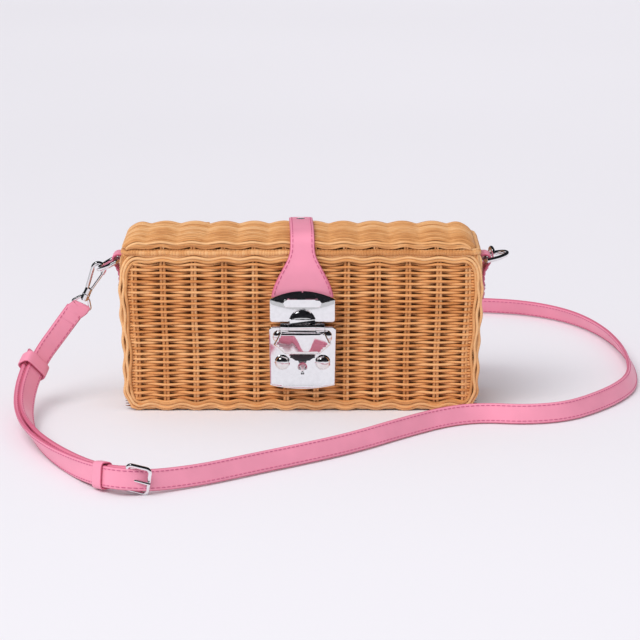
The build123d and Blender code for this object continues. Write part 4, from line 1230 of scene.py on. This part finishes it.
POLISHED = [
    "keyhole_ring", "lock_studs", "catch_disc", "buckle_frame", "buckle_prong",
    "ring_left", "ring_right", "hook_left", "hook_right", "gate_left", "gate_right",
    "eye_left", "eye_right", "side_rivet_left", "side_rivet_right",
]
for name in POLISHED:
    paint(name, CHROME)
for name in ("clasp_pin", "clasp_back", "lock_backing", "lock_rivets"):
    paint(name, STEEL)


# Floor, light and camera

FLOOR_NEAR_Y = -4000
FLOOR_FAR_Y = 4500
FLOOR_HALF_WIDTH = 5000.0
FLOOR_BEND_R = 1500
ROOM_R = 2900


def backdrop():
    """A sheet of pale paper that runs far back before it curves up."""
    bend = np.radians(np.linspace(8, 90, 12))
    flat = np.linspace(FLOOR_NEAR_Y, FLOOR_FAR_Y, 10)
    y = np.concatenate([flat, FLOOR_FAR_Y + FLOOR_BEND_R * np.sin(bend)])
    z = np.concatenate([np.zeros(len(flat)), FLOOR_BEND_R - FLOOR_BEND_R * np.cos(bend)])
    verts = [(xx, yy, zz) for yy, zz in zip(y, z) for xx in (-FLOOR_HALF_WIDTH, FLOOR_HALF_WIDTH)]
    floor = mesh_object("floor", verts, grid_quads(len(y), 2)[:, ::-1], FLOOR_PAINT)


def dark_room():
    """The unlit upper part of the studio, which only shows in polished metal."""
    material, tree, shader = new_material("dark_cloth")
    noise = add_node(tree, "ShaderNodeTexNoise")
    noise.inputs["Scale"].default_value = 2.0
    ramp = ramp_node(tree, [(0.3, (0.012, 0.012, 0.014)), (0.7, (0.03, 0.03, 0.034))])
    tree.links.new(noise.outputs["Fac"], ramp.inputs["Fac"])
    tree.links.new(ramp.outputs["Color"], shader.inputs["Base Color"])
    shader.inputs["Roughness"].default_value = 1.0
    shader.inputs["Specular IOR Level"].default_value = 0.0
    rises = np.radians(np.linspace(7, 90, 14))
    turns = np.radians(np.linspace(0, 360, 49))
    verts = []
    for rise in rises:
        for turn in turns:
            flat = ROOM_R * math.cos(rise)
            verts.append((flat * math.cos(turn), flat * math.sin(turn), ROOM_R * math.sin(rise)))
    room = mesh_object("dark_room", verts, grid_quads(len(rises), len(turns)), material)
    room.visible_camera = False
    room.visible_diffuse = False
    room.visible_shadow = False
    room.visible_transmission = False
    room.visible_volume_scatter = False


def area_light(name, place, target, size, power):
    """A square lamp that looks at a target."""
    light = bpy.data.lights.new(name, "AREA")
    light.size = size
    light.energy = power
    obj = bpy.data.objects.new(name, light)
    obj.location = place
    aim = Vector(target) - Vector(place)
    obj.rotation_euler = aim.to_track_quat("-Z", "Y").to_euler()
    bpy.context.scene.collection.objects.link(obj)


def sun(name, aim, strength, spread):
    """An even soft light. It isn't seen in the metal."""
    light = bpy.data.lights.new(name, "SUN")
    light.energy = strength
    light.angle = math.radians(spread)
    obj = bpy.data.objects.new(name, light)
    obj.rotation_euler = Vector(aim).to_track_quat("-Z", "Y").to_euler()
    obj.visible_glossy = False
    bpy.context.scene.collection.objects.link(obj)


def studio_air(colour, strength):
    """Even light from all round."""
    world = bpy.data.worlds.new("studio")
    bpy.context.scene.world = world
    world.use_nodes = True
    background = world.node_tree.nodes["Background"]
    background.inputs["Color"].default_value = (*colour, 1)
    background.inputs["Strength"].default_value = strength


def place_camera(place, pitch, lens, shift):
    """The photo's view, from the front and a little above. pitch is in degrees from straight down."""
    camera = bpy.data.cameras.new("camera")
    camera.sensor_width = 36
    camera.lens = lens
    camera.clip_start = 0.05
    camera.clip_end = 20
    camera.shift_y = shift
    obj = bpy.data.objects.new("camera", camera)
    obj.location = place
    obj.rotation_euler = (math.radians(pitch), 0, 0)
    bpy.context.scene.collection.objects.link(obj)
    bpy.context.scene.camera = obj


backdrop()
dark_room()
sun("soft_sun", aim=(0.62, 0.75, -1.35), strength=1.75, spread=48)
area_light("key", place=(-0.95, -1.0, 1.55), target=(0, 0, 0.05), size=0.6, power=3.2)
studio_air(colour=(0.97, 0.96, 1.0), strength=0.62)
place_camera(place=(0.01117, -1.66146, 0.41669), pitch=77.5, lens=155.4, shift=0.0028)
bpy.context.scene.view_settings.view_transform = "Standard"
